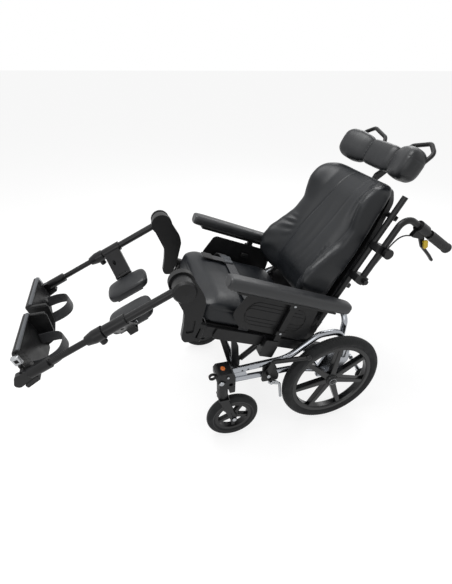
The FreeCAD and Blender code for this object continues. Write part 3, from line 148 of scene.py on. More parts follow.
finishes = {
    # polyurethane coated knit, black: smooth, satin, faint bluish light on the turns
    "coatedKnit": {"colour": "#0d0f12", "worn": "#14171b", "cloudMm": 60, "rough": 0.41, "roughSpread": 0.06,
                   "pattern": "pebble", "grainMm": 1.6, "grainDepth": 0.08, "specular": 0.36},
    # embossed upholstery vinyl of the headrest: finer and a little glossier
    "upholsteryVinyl": {"colour": "#0d0f12", "worn": "#15171a", "cloudMm": 45, "rough": 0.43, "roughSpread": 0.06,
                        "pattern": "pebble", "grainMm": 1.3, "grainDepth": 0.12, "specular": 0.42},
    # self skinned polyurethane foam of the arm pads: matt with a soft light on top
    "skinnedFoam": {"colour": "#1f2022", "worn": "#292a2c", "cloudMm": 30, "rough": 0.44, "roughSpread": 0.07,
                    "grainMm": 0.9, "grainDepth": 0.10},
    # glass filled nylon, moulded against a fine spark texture
    "mouldedNylon": {"colour": "#0e0e0f", "worn": "#171718", "cloudMm": 25, "rough": 0.42, "roughSpread": 0.06,
                     "grainMm": 0.6, "grainDepth": 0.06, "edgeMm": 1.2, "specular": 0.28},
    # moulded and polished black plastic of the wheels
    "glossNylon": {"colour": "#0a0b0c", "worn": "#121315", "cloudMm": 30, "rough": 0.24, "roughSpread": 0.05,
                   "grainMm": 2.5, "grainDepth": 0.05, "edgeMm": 1.5, "specular": 0.35},
    # black powder coat on steel tube: slight orange peel
    "powderCoat": {"colour": "#0c0c0d", "worn": "#141416", "cloudMm": 40, "rough": 0.35, "roughSpread": 0.06,
                   "grainMm": 1.4, "grainDepth": 0.07, "edgeMm": 1.0, "specular": 0.3},
    # silver lacquered and polished steel tube
    "silverTube": {"colour": "#94979c", "worn": "#a9acb1", "cloudMm": 50, "rough": 0.22, "roughSpread": 0.05,
                   "metal": 1.0, "grainMm": 3.0, "grainDepth": 0.03, "edgeMm": 0.8},
    # bright zinc plated steel: bolts, rods and hinge pins
    "brightZinc": {"colour": "#b0b2b5", "worn": "#8f9194", "cloudMm": 12, "rough": 0.28, "roughSpread": 0.08,
                   "metal": 1.0, "grainMm": 0.8, "grainDepth": 0.03},
    # solid rubber tyre: dull, dusty in the hollows
    "tyreRubber": {"colour": "#131415", "worn": "#1f2021", "cloudMm": 20, "rough": 0.72, "roughSpread": 0.08,
                   "grainMm": 0.8, "grainDepth": 0.12, "specular": 0.28},
    # polyester webbing: ribs across, drawn at 2.4 mm to show
    "polyesterWebbing": {"colour": "#191a1d", "worn": "#222327", "cloudMm": 15, "rough": 0.7, "roughSpread": 0.08,
                         "pattern": "weave", "bands": ("X", "DIAGONAL"), "grainMm": 2.4, "grainDepth": 0.3,
                         "sheen": 0.2},
    # soft rubber of the hand grips
    "gripRubber": {"colour": "#131314", "worn": "#1b1b1c", "cloudMm": 12, "rough": 0.62, "roughSpread": 0.08,
                   "grainMm": 0.7, "grainDepth": 0.10},
    # hook and loop patch: deep matt pile; its near black also stands as painted shade in the square socket of the
    # footplate's stop block
    "hookPileAndPaintedShade": {"colour": "#0d0d0e", "worn": "#151516", "cloudMm": 8, "rough": 0.9, "roughSpread": 0.05,
                 "grainMm": 1.5, "grainDepth": 0.6, "sheen": 0.3, "specular": 0.2},
    # satin acetal of the belt buckle: grey on its raised faces; the same grey on the footplates' toe strip is a painted
    # highlight on a black rounded edge
    "satinAcetalAndPaintedHighlight": {"colour": "#3a3c40", "worn": "#4a4d51", "cloudMm": 18, "rough": 0.38, "roughSpread": 0.06,
                    "grainMm": 0.7, "grainDepth": 0.05, "edgeMm": 0.8},
    # yellow moulded catch
    "yellowNylon": {"colour": "#e8c41e", "worn": "#f2cf30", "cloudMm": 10, "rough": 0.38, "roughSpread": 0.05,
                    "grainMm": 0.8, "grainDepth": 0.05, "edgeMm": 0.8},
    # orange printed patch on the castor block
    "orangeLacquer": {"colour": "#d06a2c", "worn": "#dd7a3a", "cloudMm": 6, "rough": 0.4, "roughSpread": 0.05,
                      "grainMm": 0.8, "grainDepth": 0.03},
    # cable jacket
    "cableVinyl": {"colour": "#111112", "worn": "#19191a", "cloudMm": 20, "rough": 0.4, "roughSpread": 0.05,
                   "grainMm": 0.9, "grainDepth": 0.03},
    # bright face of the strut: brushed, shows pale
    "brushedSteel": {"colour": "#a9abad", "worn": "#bcbec0", "cloudMm": 30, "rough": 0.3, "roughSpread": 0.06,
                     "metal": 1.0, "grainMm": 1.0, "grainDepth": 0.05, "edgeMm": 0.8},
}
finish = {name: makeFinish(name, look) for name, look in finishes.items()}
print("finishes made")

# what each solid from the frame is finished in
nodeFinish = {
    "silverTube": ["side_frame", "cross_members", "anti_tip_arm"],
    "mouldedNylon": ["castor_housings", "brake_clamps", "seat_side_covers", "back_shell", "armrest", "hanger",
                     "footplate", "headrest_bracket", "seat_board"],
    "powderCoat": ["tilt_struts", "castor_wheel", "castor_fork", "seat_frame", "back_frame", "headrest_post",
                   "leg_tube", "foot_tube", "push_handle", "brake_lever", "hand_lever", "tilt_spring_barrels",
                   "recline_spring_barrel"],
    "brightZinc": ["brake_shoe", "tilt_spring_rods", "recline_spring_rod"],
    "glossNylon": ["rear_wheel"],
    "tyreRubber": ["anti_tip_wheel", "rear_tyre"],
    "yellowNylon": ["lever_catch"],
    "coatedKnit": ["seat_cushion", "back_cushion", "headrest_cushion", "arm_pad", "calf_pad"],
    "polyesterWebbing": ["heel_strap", "lap_belt"],
    "cableVinyl": ["brake_cables"],
}
for finishName, stems in nodeFinish.items():
    for nodeName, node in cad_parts.items():
        if nodeName in stems or nodeName.rsplit("_", 1)[0] in stems:
            if node.material_slots:
                for materialSlot in node.material_slots:
                    materialSlot.material = finish[finishName]
            else:
                node.data.materials.append(finish[finishName])
bare = [name for name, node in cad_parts.items()
        if not node.material_slots or node.material_slots[0].material.name not in finishes]
print("nodes without a finish:", bare)


# surfaces

def outward(points, quads, tris):
    # turns every face the other way when the enclosed volume comes out negative
    def sixVolume(a, b, c):
        return float(np.sum(points[a] * np.cross(points[b], points[c])))
    total = sixVolume(quads[:, 0], quads[:, 1], quads[:, 2]) + sixVolume(quads[:, 0], quads[:, 2], quads[:, 3])
    if len(tris):
        total += sixVolume(tris[:, 0], tris[:, 1], tris[:, 2])
    if total < 0:
        quads, tris = quads[:, ::-1], tris[:, ::-1]
    return points, quads, tris


def gridShape(grid, ring=False):
    # rows by columns of points, columns closed round; the rows close too as a ring, or end in a fan
    rows, columns = grid.shape[:2]
    index = np.arange(rows * columns).reshape(rows, columns)
    index = np.concatenate([index, index[:, :1]], axis=1)
    if ring:
        index = np.concatenate([index, index[:1]], axis=0)
    quads = np.stack([index[:-1, :-1], index[:-1, 1:], index[1:, 1:], index[1:, :-1]], axis=-1).reshape(-1, 4)
    points = grid.reshape(-1, 3)
    tris = np.zeros((0, 3), int)
    if not ring:
        count = len(points)
        points = np.concatenate([points, grid[0].mean(0)[None], grid[-1].mean(0)[None]])
        first = np.stack([index[0, 1:], index[0, :-1], np.full(columns, count)], axis=-1)
        last = np.stack([index[-1, :-1], index[-1, 1:], np.full(columns, count + 1)], axis=-1)
        tris = np.concatenate([first, last])
    return outward(points, quads, tris)


def superPad(at, half, power, shaping=None, rows=72, columns=96):
    # superellipsoid: |x/a|^n + |u/b|^m + |v/c|^n = 1, with its poles at the ends of u; shaping bends the local points
    s = np.linspace(-1, 1, rows + 2)[1:-1] * math.pi / 2
    t = np.linspace(0, 2 * math.pi, columns, endpoint=False)
    s, t = np.meshgrid(s, t, indexing="ij")

    def bent(value, n):
        return np.sign(value) * np.abs(value) ** (2 / n)
    ring = bent(np.cos(s), power[1])
    x = half[0] * ring * bent(np.cos(t), power[0])
    u = half[1] * bent(np.sin(s), power[1])
    v = half[2] * ring * bent(np.sin(t), power[0])
    if shaping:
        x, u, v = shaping(x / half[0], u / half[1], v / half[2])
    return gridShape(place(at[0], at[1] + x, at[2] + u, at[3] + v))


def smoothed(points, times=3):
    # corner cutting: each run keeps its middle half, the ends stay
    p = np.asarray(points, float)
    for _ in range(times):
        near, far = 0.75 * p[:-1] + 0.25 * p[1:], 0.25 * p[:-1] + 0.75 * p[1:]
        p = np.concatenate([p[:1], np.stack([near, far], axis=1).reshape(-1, p.shape[1]), p[-1:]])
    return p


def sweepShape(path, section, side):
    # section's first number goes along side, its second square to side and path; path in metres
    path = np.asarray(path, float)
    along = np.gradient(path, axis=0)
    along /= np.linalg.norm(along, axis=1)[:, None]
    side = np.broadcast_to(np.asarray(side, float), path.shape)
    side = side - along * np.sum(side * along, axis=1)[:, None]
    side /= np.linalg.norm(side, axis=1)[:, None]
    third = np.cross(along, side)
    section = np.asarray(section, float)
    if section.ndim == 2:
        section = np.broadcast_to(section, (len(path),) + section.shape)
    grid = path[:, None] + section[..., :1] * side[:, None] + section[..., 1:] * third[:, None]
    return gridShape(grid)


def circle(radius, count=24):
    # radius may be one number or one per point of the path
    turn = np.linspace(0, 2 * math.pi, count, endpoint=False)
    radius = np.asarray(radius, float)[..., None, None] / 1000
    return radius * np.stack([np.cos(turn), np.sin(turn)], axis=-1)


def roundedBand(width, thickness, count=24, power=6.0):
    # flat band with round edges, a squared ellipse
    turn = np.linspace(0, 2 * math.pi, count, endpoint=False)
    c, s = np.cos(turn), np.sin(turn)
    return np.stack([np.sign(c) * np.abs(c) ** (2 / power) * width / 2000,
                     np.sign(s) * np.abs(s) ** (2 / power) * thickness / 2000], axis=-1)


def lathe(profile, centre, axis, count=48):
    # (along, radius) pairs in mm carried round an axis through centre
    profile = np.asarray(profile, float) / 1000
    axis = np.asarray(axis, float) / np.linalg.norm(axis)
    helper = np.array([0.0, 0.0, 1.0]) if abs(axis[2]) < 0.9 else np.array([0.0, 1.0, 0.0])
    one = np.cross(axis, helper)
    one /= np.linalg.norm(one)
    two = np.cross(axis, one)
    turn = np.linspace(0, 2 * math.pi, count, endpoint=False)
    spoke = np.cos(turn)[:, None] * one + np.sin(turn)[:, None] * two
    grid = np.asarray(centre, float) + profile[:, None, :1] * axis + profile[:, None, 1:] * spoke[None]
    return gridShape(grid)


def mirrorShape(shape):
    # the same piece on the other side
    points, quads, tris = shape
    return outward(points * np.array([-1.0, 1.0, 1.0]), quads, tris)


def addPiece(name, shapes, finishName, body, sharp=40, bevel=0):
    # one object out of closed shapes, riding a body of the frame
    mesh = bpy.data.meshes.new(name)
    faces, points, start = [], [], 0
    for p, quads, tris in shapes:
        faces += (quads + start).tolist() + (tris + start).tolist()
        points.append(p)
        start += len(p)
    mesh.from_pydata(np.concatenate(points).tolist(), [], faces)
    mesh.polygons.foreach_set("use_smooth", np.ones(len(mesh.polygons), bool))
    if sharp:
        mesh.set_sharp_from_angle(angle=math.radians(sharp))
    mesh.update()
    piece = bpy.data.objects.new(name, mesh)
    scene.collection.objects.link(piece)
    mesh.materials.append(finish[finishName])
    if bevel:
        edge = piece.modifiers.new("edge", "BEVEL")
        edge.width, edge.segments, edge.limit_method = bevel / 1000, 2, "ANGLE"
    if body:
        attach(piece, body)
    return piece


def boxShape(at, x, u, v):
    # plain block in a side view's lines, its edges rounded later by a bevel
    corners = [(x[i], u[j], v[k]) for i in (0, 1) for j in (0, 1) for k in (0, 1)]
    points = place(at, *np.array(corners).T)
    quads = np.array([(0, 1, 3, 2), (4, 6, 7, 5), (0, 4, 5, 1), (2, 3, 7, 6), (0, 2, 6, 4), (1, 5, 7, 3)])
    return outward(points, quads, np.zeros((0, 3), int))


def getPoints(mesh):
    # the vertices as rows of x, y, z in metres
    flat = np.zeros(len(mesh.vertices) * 3, np.float32)
    mesh.vertices.foreach_get("co", flat)
    return flat.reshape(-1, 3).astype(float)


def setPoints(mesh, points):
    # the way back, rows of x, y, z into the vertices
    mesh.vertices.foreach_set("co", np.ascontiguousarray(points, np.float32).ravel())
    mesh.update()


def baked(piece):
    # the piece's mesh with its modifiers worked out, and none left
    made = bpy.data.meshes.new_from_object(piece.evaluated_get(bpy.context.evaluated_depsgraph_get()))
    piece.modifiers.clear()
    piece.data = made
    return made


def eased(mesh, values, times):
    # each point's value averaged again and again with its neighbours', so that fine buckles go and the swell stays
    flat = np.zeros(len(mesh.edges) * 2, np.int32)
    mesh.edges.foreach_get("vertices", flat)
    one, two = flat[0::2], flat[1::2]
    count = len(mesh.vertices)
    share = np.maximum(np.bincount(one, minlength=count) + np.bincount(two, minlength=count), 1)
    for _ in range(times):
        total = [np.bincount(one, values[two, k], count) + np.bincount(two, values[one, k], count) for k in range(3)]
        values = 0.5 * values + 0.5 * np.stack(total, axis=-1) / share[:, None]
    return values


def puffUp(piece, voxelMm, capMm, held):
    # remesh, then twenty frames of pressure with gravity off; no point goes past the cap, held points stay,
    # and the swell is evened out
    remesh = piece.modifiers.new("even", "REMESH")
    remesh.mode, remesh.voxel_size, remesh.use_smooth_shade = "VOXEL", voxelMm / 1000, True
    mesh = baked(piece)
    start = getPoints(mesh)
    pins = piece.vertex_groups.new(name="held")
    pins.add(np.nonzero(held(start))[0].tolist(), 1.0, "REPLACE")
    cloth = piece.modifiers.new("cloth", "CLOTH")
    cloth.settings.use_pressure = True
    cloth.settings.uniform_pressure_force = 4.0
    cloth.settings.effector_weights.gravity = 0.0
    cloth.settings.vertex_group_mass = "held"
    cloth.settings.tension_stiffness = cloth.settings.compression_stiffness = 15.0
    cloth.settings.quality = 4
    for number in range(1, 21):
        scene.frame_set(number)
    moved = getPoints(bpy.data.meshes.new_from_object(piece.evaluated_get(bpy.context.evaluated_depsgraph_get())))
    piece.modifiers.clear()
    piece.vertex_groups.clear()
    scene.frame_set(1)
    step = moved - start
    length = np.maximum(np.linalg.norm(step, axis=1), 1e-9)
    setPoints(mesh, start + eased(mesh, step * np.minimum(1, capMm / 1000 / length)[:, None], 40))
    finer = piece.modifiers.new("finer", "SUBSURF")
    finer.levels = finer.render_levels = 1
    mesh = baked(piece)
    mesh.polygons.foreach_set("use_smooth", np.ones(len(mesh.polygons), bool))
    mesh.update()
    print(piece.name, "puffed up,", len(mesh.vertices), "points")
    return mesh


def press(mesh, depthMm):
    # each point goes in along its normal by its own depth in mm
    normals = np.zeros(len(mesh.vertices) * 3, np.float32)
    mesh.vertices.foreach_get("normal", normals)
    setPoints(mesh, getPoints(mesh) - normals.reshape(-1, 3) * (np.asarray(depthMm)[:, None] / 1000))


def step01(value, low, high):
    # smooth step from 0 at low to 1 at high
    s = np.clip((value - low) / (high - low), 0, 1)
    return s * s * (3 - 2 * s)


def alongTable(at, table, column, blur):
    # a table's column read along its first column, averaged over a little length so that it has no corners
    table = np.asarray(table, float)
    shifts = np.linspace(-blur, blur, 9)
    return np.mean([np.interp(at + shift, table[:, 0], table[:, column]) for shift in shifts], axis=0)


def seamLine(x, u, table, width, depth):
    # groove along a line given as (u, x) pairs
    table = np.asarray(table, float)
    offset = x - np.interp(u, table[:, 0], table[:, 1])
    inside = step01(u, table[0, 0] - 8, table[0, 0]) * (1 - step01(u, table[-1, 0], table[-1, 0] + 8))
    return depth * np.exp(-(offset / width) ** 2) * inside


sides = ((1, "left"), (-1, "right"))

# seat cushion

seatPad = {"front": 105, "rear": -298, "half": 207, "low": 64.6, "tall": 81, "crown": 7, "hollow": 5, "frontDrop": 16,
           "hang": 8, "voxel": 7, "puff": 6,
           # the side seam: height, width and depth; then the depth of the soft waves in front
           "seam": (118, 2.6, 2.2), "waves": 0.5}


def shapeSeat(x, u, v):
    # box pad, its top crowned by 1 - x^2, hollowed for the sitter and rolled down at the front
    mid, reach = (seatPad["front"] + seatPad["rear"]) / 2, (seatPad["front"] - seatPad["rear"]) / 2
    top = 0.5 + v / 2
    lift = seatPad["crown"] * (1 - x * x) * (1 - u ** 4)
    lift = lift - seatPad["hollow"] * np.exp(-((u + 0.35) / 0.4) ** 2) * (1 - x ** 4)
    roll = seatPad["frontDrop"] * step01(u, 0.62, 1.0) ** 2
    hang = seatPad["hang"] * step01(np.abs(x), 0.86, 0.98) * (1 - top) ** 2
    draw = 1 - 0.022 * np.exp(-((u - 0.1) / 0.5) ** 2) * (1 - np.abs(v) ** 3)
    return (seatPad["half"] * x * draw, mid + reach * u,
            seatPad["low"] + seatPad["tall"] * top + top * (lift - roll) - hang)


seatPiece = addPiece("seatCushion", [superPad(("seat", 0, 0, 0), (1, 1, 1), (7, 9), shapeSeat, 90, 120)],
                     "coatedKnit", None)
mesh = puffUp(seatPiece, seatPad["voxel"], seatPad["puff"], lambda p: unplace("seat", p)[2] < seatPad["low"] + 6)
x, u, v = unplace("seat", getPoints(mesh))
seamHeight, seamWidth, seamDepth = seatPad["seam"]
sideSeam = np.exp(-((v - seamHeight) / seamWidth) ** 2)
sideSeam *= step01(np.maximum(np.abs(x) / 204, (u + 96.5) / 199), 0.93, 0.99)      # only on the sides and the front
frontSoft = seatPad["waves"] * np.sin(u / 13 + x / 46) * np.exp(-((u - 60) / 50) ** 2) * step01(v, 120, 150)
press(mesh, seamDepth * sideSeam + frontSoft)
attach(seatPiece, "seat")
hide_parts("seat_cushion")

# back cushion

backPad = {
    # h, half width, wing depth, depth at the middle, as in the solid
    "rows": ((56, 182, 90, 54), (66, 188, 112, 66), (95, 199, 148, 80), (150, 203, 164, 86), (200, 203, 158, 82),
             (250, 202, 129, 78), (316, 199, 92, 73), (373, 195, 82, 67), (413, 193, 97, 65), (454, 191, 108, 62),
             (495, 188, 101, 57), (525, 183, 84, 50), (552, 170, 50, 32)),
    "leftSeam": ((60, -101), (100, -100), (184, -95), (270, -87), (352, -70), (445, -43), (556, -30)),
    "rightSeam": ((60, 118), (100, 124), (200, 140), (292, 158), (381, 168), (456, 168), (556, 150)),
    "middleFold": ((120, 8), (250, 30), (380, 52), (500, 66), (556, 70)),
    "leftGroove": (2.6, 2.6), "rightGroove": (2.4, 2.2), "foldGroove": (5.0, 0.9),      # width and depth
    "from": 54, "to": 552, "hollow": 5, "voxel": 7, "puff": 5,
    # pulls in the cover: how deep the fan, the long ones and those at the top are, and where the fan starts
    "fan": 1.5, "long": 0.5, "top": 0.4, "waist": 330, "rays": 34,
}


def shapeBack(x, u, v):
    # rear face flat on the shell; front face from the middle depth out to the wings, both read from the rows
    h = (backPad["to"] + backPad["from"]) / 2 + (backPad["to"] - backPad["from"]) / 2 * u
    rows = backPad["rows"]
    half = alongTable(h, rows, 1, 10)
    wing = alongTable(h, rows, 2, 10)
    middle = alongTable(h, rows, 3, 12)
    front = middle + (wing - middle) * step01(np.abs(x), 0.5, 0.95)
    front = front - backPad["hollow"] * np.exp(-(x / 0.35) ** 2) * np.exp(-((h - 300) / 150) ** 2)
    deep = (1 + v) / 2
    return half * x, h, -(0.5 + deep * (front - 2))


s = np.linspace(-1, 1, 120)
t = np.linspace(0, 2 * math.pi, 160, endpoint=False)
s, t = np.meshgrid(s, t, indexing="ij")
close = np.clip(1 - np.abs(s) ** 14, 0, 1) ** (1 / 3)      # the ends draw in over the last few centimetres
x = np.sign(np.cos(t)) * np.abs(np.cos(t)) ** (2 / 5) * (0.7 + 0.3 * close)
v = np.sign(np.sin(t)) * np.abs(np.sin(t)) ** (2 / 5)
v = np.where(s > 0, -1 + (v + 1) * (0.15 + 0.85 * close), -1 + (v + 1) * (0.3 + 0.7 * close))
backShape = gridShape(place("back", *shapeBack(x, s, v)))
backPiece = addPiece("backCushion", [backShape], "coatedKnit", None)
mesh = puffUp(backPiece, backPad["voxel"], backPad["puff"], lambda p: unplace("back", p)[2] > -4)
x, h, t = unplace("back", getPoints(mesh))
facing = step01(-t, 22, 34)
groove = seamLine(x, h, backPad["leftSeam"], *backPad["leftGroove"])
groove += seamLine(x, h, backPad["rightSeam"], *backPad["rightGroove"])
groove += seamLine(x, h, backPad["middleFold"], *backPad["foldGroove"])
# pulls: waves over the angle round a point at the waist, on the wings below it; long waves; short ones at the top
reachOut = np.abs(x) - 60
angle = np.arctan2(h - backPad["waist"], reachOut + 40)
fan = np.sin(backPad["rays"] * angle + 1.3 * np.sin(reachOut / 23)) * step01(np.abs(x), 90, 140)
fan *= step01(-h, -330, -250) * (0.6 + 0.4 * np.sin(h / 31 + x / 19))
long = np.sin((x - 0.22 * h) / 7 + 1.2 * np.sin(h / 55)) * step01(-np.abs(x), -110, -40) * step01(-h, -430, -200)
top = np.sin((x + 0.5 * h) / 13) * step01(h, 470, 540) * step01(np.abs(x), 60, 130)
press(mesh, facing * (groove + backPad["fan"] * fan + backPad["long"] * long + backPad["top"] * top))
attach(backPiece, "back")
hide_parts("back_cushion")

# headrest

headPad = {
    # x, front, rear, half height
    "rows": ((0, -15, 28, 45), (50, -17, 27, 44), (64, -13, 26, 42), (71, -5, 24, 38), (78, -13, 25, 42),
             (95, -24, 30, 49), (132, -41, 36, 54), (165, -51, 34, 52), (184, -53, 27, 45), (196, -45, 16, 34)),
    "height": 626, "half": 196, "endShare": 0.35, "voxel": 4, "puff": 3,
    "piping": (71, 2.0, 1.6),      # distance from the middle, width and depth
    "wingSeam": (640, 1.8, 1.0),   # height, width and depth
}


def shapeHead(x, u, v):
    # rows read by the distance from the middle; the section is a squared ellipse with a crowned front
    side = headPad["half"] * np.abs(u)
    front = alongTable(side, headPad["rows"], 1, 2.5)
    rear = alongTable(side, headPad["rows"], 2, 6)
    tall = alongTable(side, headPad["rows"], 3, 2.5)
    end = np.clip(1 - np.abs(u) ** 24, 0, 1) ** 0.45
    end = headPad["endShare"] + (1 - headPad["endShare"]) * end
    return headPad["half"] * u, headPad["height"] + tall * x * end, (front + rear) / 2 + (front - rear) / 2 * v * end


s = np.linspace(-1, 1, 180)
t = np.linspace(0, 2 * math.pi, 96, endpoint=False)
s, t = np.meshgrid(s, t, indexing="ij")
localX, localU, localV = shapeHead(np.sign(np.cos(t)) * np.abs(np.cos(t)) ** (2 / 3.2), s,
                                   np.sign(np.sin(t)) * np.abs(np.sin(t)) ** (2 / 3.2))
headPiece = addPiece("headrestCushion", [gridShape(place("back", localX, localU, localV))], "upholsteryVinyl", None)
mesh = puffUp(headPiece, headPad["voxel"], headPad["puff"], lambda p: unplace("back", p)[2] > 22)
x, h, t = unplace("back", getPoints(mesh))
seamAt, width, depth = headPad["piping"]
piping = np.exp(-((np.abs(x) - seamAt) / width) ** 2) * depth
seamAt, width, depth = headPad["wingSeam"]
wingSeam = np.exp(-((h - seamAt - 0.06 * (np.abs(x) - 130)) / width) ** 2) * step01(np.abs(x), 172, 184) * depth
press(mesh, piping + wingSeam)
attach(headPiece, "headrest")
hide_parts("headrest_cushion")
print("cushions done")

# arm pads

armPad = {"x": 254, "half": 27.6, "front": 83, "rear": -385, "low": 232.3, "high": 276, "crown": 2.2}


def shapeArm(x, u, v):
    # long bar: crowned top, flat base, a soft step where the skin meets the base
    mid, reach = (armPad["front"] + armPad["rear"]) / 2, (armPad["front"] - armPad["rear"]) / 2
    base, tall = armPad["low"], armPad["high"] - armPad["low"]
    wide = armPad["half"] * (1 - 0.06 * step01(-v, 0.1, 0.9))
    return wide * x, mid + reach * u, base + tall * (0.5 + v / 2) - armPad["crown"] * x * x * step01(v, 0.2, 1)


for sign, side in sides:
    shape = superPad(("seat", 0, 0, 0), (1, 1, 1), (3.4, 12), shapeArm, 110, 72)
    shape = (shape[0] + np.array([armPad["x"] / 1000, 0, 0]), shape[1], shape[2])
    if sign < 0:
        shape = mirrorShape(shape)
    piece = addPiece("armPad_" + side, [shape], "skinnedFoam", "armrest_" + side, sharp=0)
    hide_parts("arm_pad_" + side)

# calf pads

calfPad = {"x": 96, "half": 55, "from": 141, "to": 301, "low": -109.6, "high": -70.5, "crown": 4, "voxel": 5,
           "puff": 2.5, "hinge": (168, 228, -80),
           # plates of the carrier, from and to in x, u, v; then along and radius of the knuckle and of its pin
           "plates": (((56, 136), (172, 278), (-115, -110.2)), ((126, 166), (213, 243), (-115, -110.2)),
                      ((161, 171), (213, 243), (-114, -80))),
           "knuckle": ((-15.5, 3), (-15.5, 8), (15.5, 8), (15.5, 3)),
           "pin": ((-34, 3), (-34, 4.6), (-31, 5), (31, 5), (34, 4.6), (34, 3))}


def shapeCalf(x, u, v):
    # rounded slab, crowned on the calf side
    mid, reach = (calfPad["from"] + calfPad["to"]) / 2, (calfPad["to"] - calfPad["from"]) / 2
    tall = calfPad["high"] - calfPad["low"] - calfPad["crown"]
    crown = calfPad["crown"] * (1 - x * x) * (1 - u * u) * step01(v, 0, 1)
    return calfPad["half"] * x, mid + reach * u, calfPad["low"] + tall * (0.5 + v / 2) + crown


for sign, side in sides:
    shape = superPad(("leg", 0, 0, 0), (1, 1, 1), (5, 4.5), shapeCalf, 60, 80)
    shape = (shape[0] + np.array([calfPad["x"] / 1000, 0, 0]), shape[1], shape[2])
    hingeAt, hingeLine = place("leg", *calfPad["hinge"]), across("leg", 1, 0)
    carrier = [boxShape("leg", *plate) for plate in calfPad["plates"]]
    carrier.append(lathe(calfPad["knuckle"], hingeAt, hingeLine))
    hinge = [lathe(calfPad["pin"], hingeAt, hingeLine, 24)]
    if sign < 0:
        shape = mirrorShape(shape)
        carrier, hinge = [mirrorShape(part) for part in carrier], [mirrorShape(part) for part in hinge]
    piece = addPiece("calfPad_" + side, [shape], "upholsteryVinyl", None, sharp=0)
    puffUp(piece, calfPad["voxel"], calfPad["puff"], lambda p: unplace("leg", p)[2] < calfPad["low"] + 4)
    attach(piece, "calf_pad_" + side)
    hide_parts("calf_pad_" + side)
    addPiece("calfCarrier_" + side, carrier, "mouldedNylon", "calf_pad_" + side, bevel=1.2)
    addPiece("calfHinge_" + side, hinge, "brightZinc", "calf_pad_" + side)

# straps

heelStrap = {"route": ((180, 1.4), (184, 28), (182, 50), (170, 76), (150, 90), (108, 95), (80, 88), (60, 64),
                       (48, 1.4)),
             "at": -28, "sag": 6, "width": 40, "thick": 2.6}
for sign, side in sides:
    route = smoothed(heelStrap["route"], 3)
    sag = heelStrap["sag"] * np.sin(np.linspace(0, math.pi, len(route)))
    path = place("foot", sign * route[:, 0], heelStrap["at"] - sag, route[:, 1])
    band = sweepShape(path, roundedBand(heelStrap["width"], heelStrap["thick"]), across("foot", 1, 0))
    edge = sweepShape(path, roundedBand(heelStrap["width"] - 8, heelStrap["thick"] + 0.7), across("foot", 1, 0))
    piece = addPiece("heelStrap_" + side, [band, edge], "polyesterWebbing", "footplate_" + side, sharp=50)
    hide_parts("heel_strap_" + side)

top = 159.5        # the belt lies on the cushion at this height in the seat's lines
lapBelt = {
    "at": -65, "sway": 5, "width": 38, "thick": 2.4, "tailWidth": 36,
    "route": ((-212, 64), (-213, 132), (-206, top - 10), (-180, top + 1.5), (-90, top + 3.5), (0, top + 4),
              (90, top + 3.5), (180, top + 1.5), (206, top - 10), (213, 132), (212, 64)),
    "tail": ((-105, -62, top + 7), (-106, -30, top + 9), (-108, 0, top + 6), (-112, 26, top + 4), (-116, 44, top + 3)),
}
route = smoothed(lapBelt["route"], 3)
path = place("seat", route[:, 0], lapBelt["at"] + lapBelt["sway"] * np.sin(route[:, 0] / 60), route[:, 1])
band = sweepShape(path, roundedBand(lapBelt["width"], lapBelt["thick"]), across("seat", 1, 0))
tail = smoothed(lapBelt["tail"], 3)
loose = sweepShape(place("seat", *tail.T), roundedBand(lapBelt["tailWidth"], lapBelt["thick"]), (1, 0, 0))
beltPiece = addPiece("lapBelt", [band, loose], "polyesterWebbing", "seat", sharp=50)
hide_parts("lap_belt")
print("straps done")

# wheels

# ribs round the tyre; the depths of ribs, grooves and bead are shares of the section's radius
rearTyre = {"x": 277, "f": 0, "z": 200, "ring": 179, "section": 21, "ribs": 120, "depth": 0.06, "groove": 0.05,
            "bead": 0.04, "rows": 480}
castorTyre = {"x": 266, "f": 389, "z": 100, "ring": 83, "section": 17.35, "ribs": 0, "depth": 0.0, "groove": 0.05,
              "bead": 0.04, "rows": 160}


def tyreShape(tyre):
    # ring: radius about the section's centre drops in fine ribs across the tread, and in two grooves round it
    around, turn = np.meshgrid(np.linspace(0, 2 * math.pi, tyre["rows"], endpoint=False),
                               np.linspace(0, 2 * math.pi, 48, endpoint=False), indexing="ij")
    tread = step01(np.cos(turn), 0.35, 0.6)
    ribs = 0.5 + 0.5 * np.cos(tyre["ribs"] * around + 5 * np.abs(np.sin(turn))) if tyre["ribs"] else 0
    grooves = np.exp(-((np.abs(np.sin(turn)) - 0.28) / 0.07) ** 2) * tread
    bead = tyre["bead"] * np.exp(-((np.cos(turn) + 0.25) / 0.12) ** 2)
    radius = tyre["section"] * (1 - tyre["depth"] * tread * ribs - tyre["groove"] * grooves - bead)
    reach = tyre["ring"] + radius * np.cos(turn)
    x = tyre["x"] + radius * np.sin(turn)
    grid = np.stack([x, rearAxleY - tyre["f"] + reach * np.cos(around), tyre["z"] + reach * np.sin(around)], axis=-1)
    return gridShape(grid / 1000, ring=True)


for sign, side in sides:
    for stem, tyre, body in (("rearTyre_", rearTyre, "rear_wheel_"), ("castorTyre_", castorTyre, "castor_wheel_")):
        shape = tyreShape(tyre)
        piece = addPiece(stem + side, [shape if sign > 0 else mirrorShape(shape)], "tyreRubber", body + side,
                         sharp=0)
        if stem == "rearTyre_":
            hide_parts("rear_tyre_" + side)

# hand grips

handGrip = {"x": 232, "from": 170, "to": 287, "radius": 15.9, "rib": 0.9, "pitch": 5.5, "flange": 18.2,
            "bendH": 493, "bendT": 33, "droop": 0.72 * math.tan(math.radians(9))}


def gripLine(t):
    # the grip's own line droops as it runs rearward from the tube's bend
    return handGrip["bendH"] - (t - handGrip["bendT"]) * handGrip["droop"]


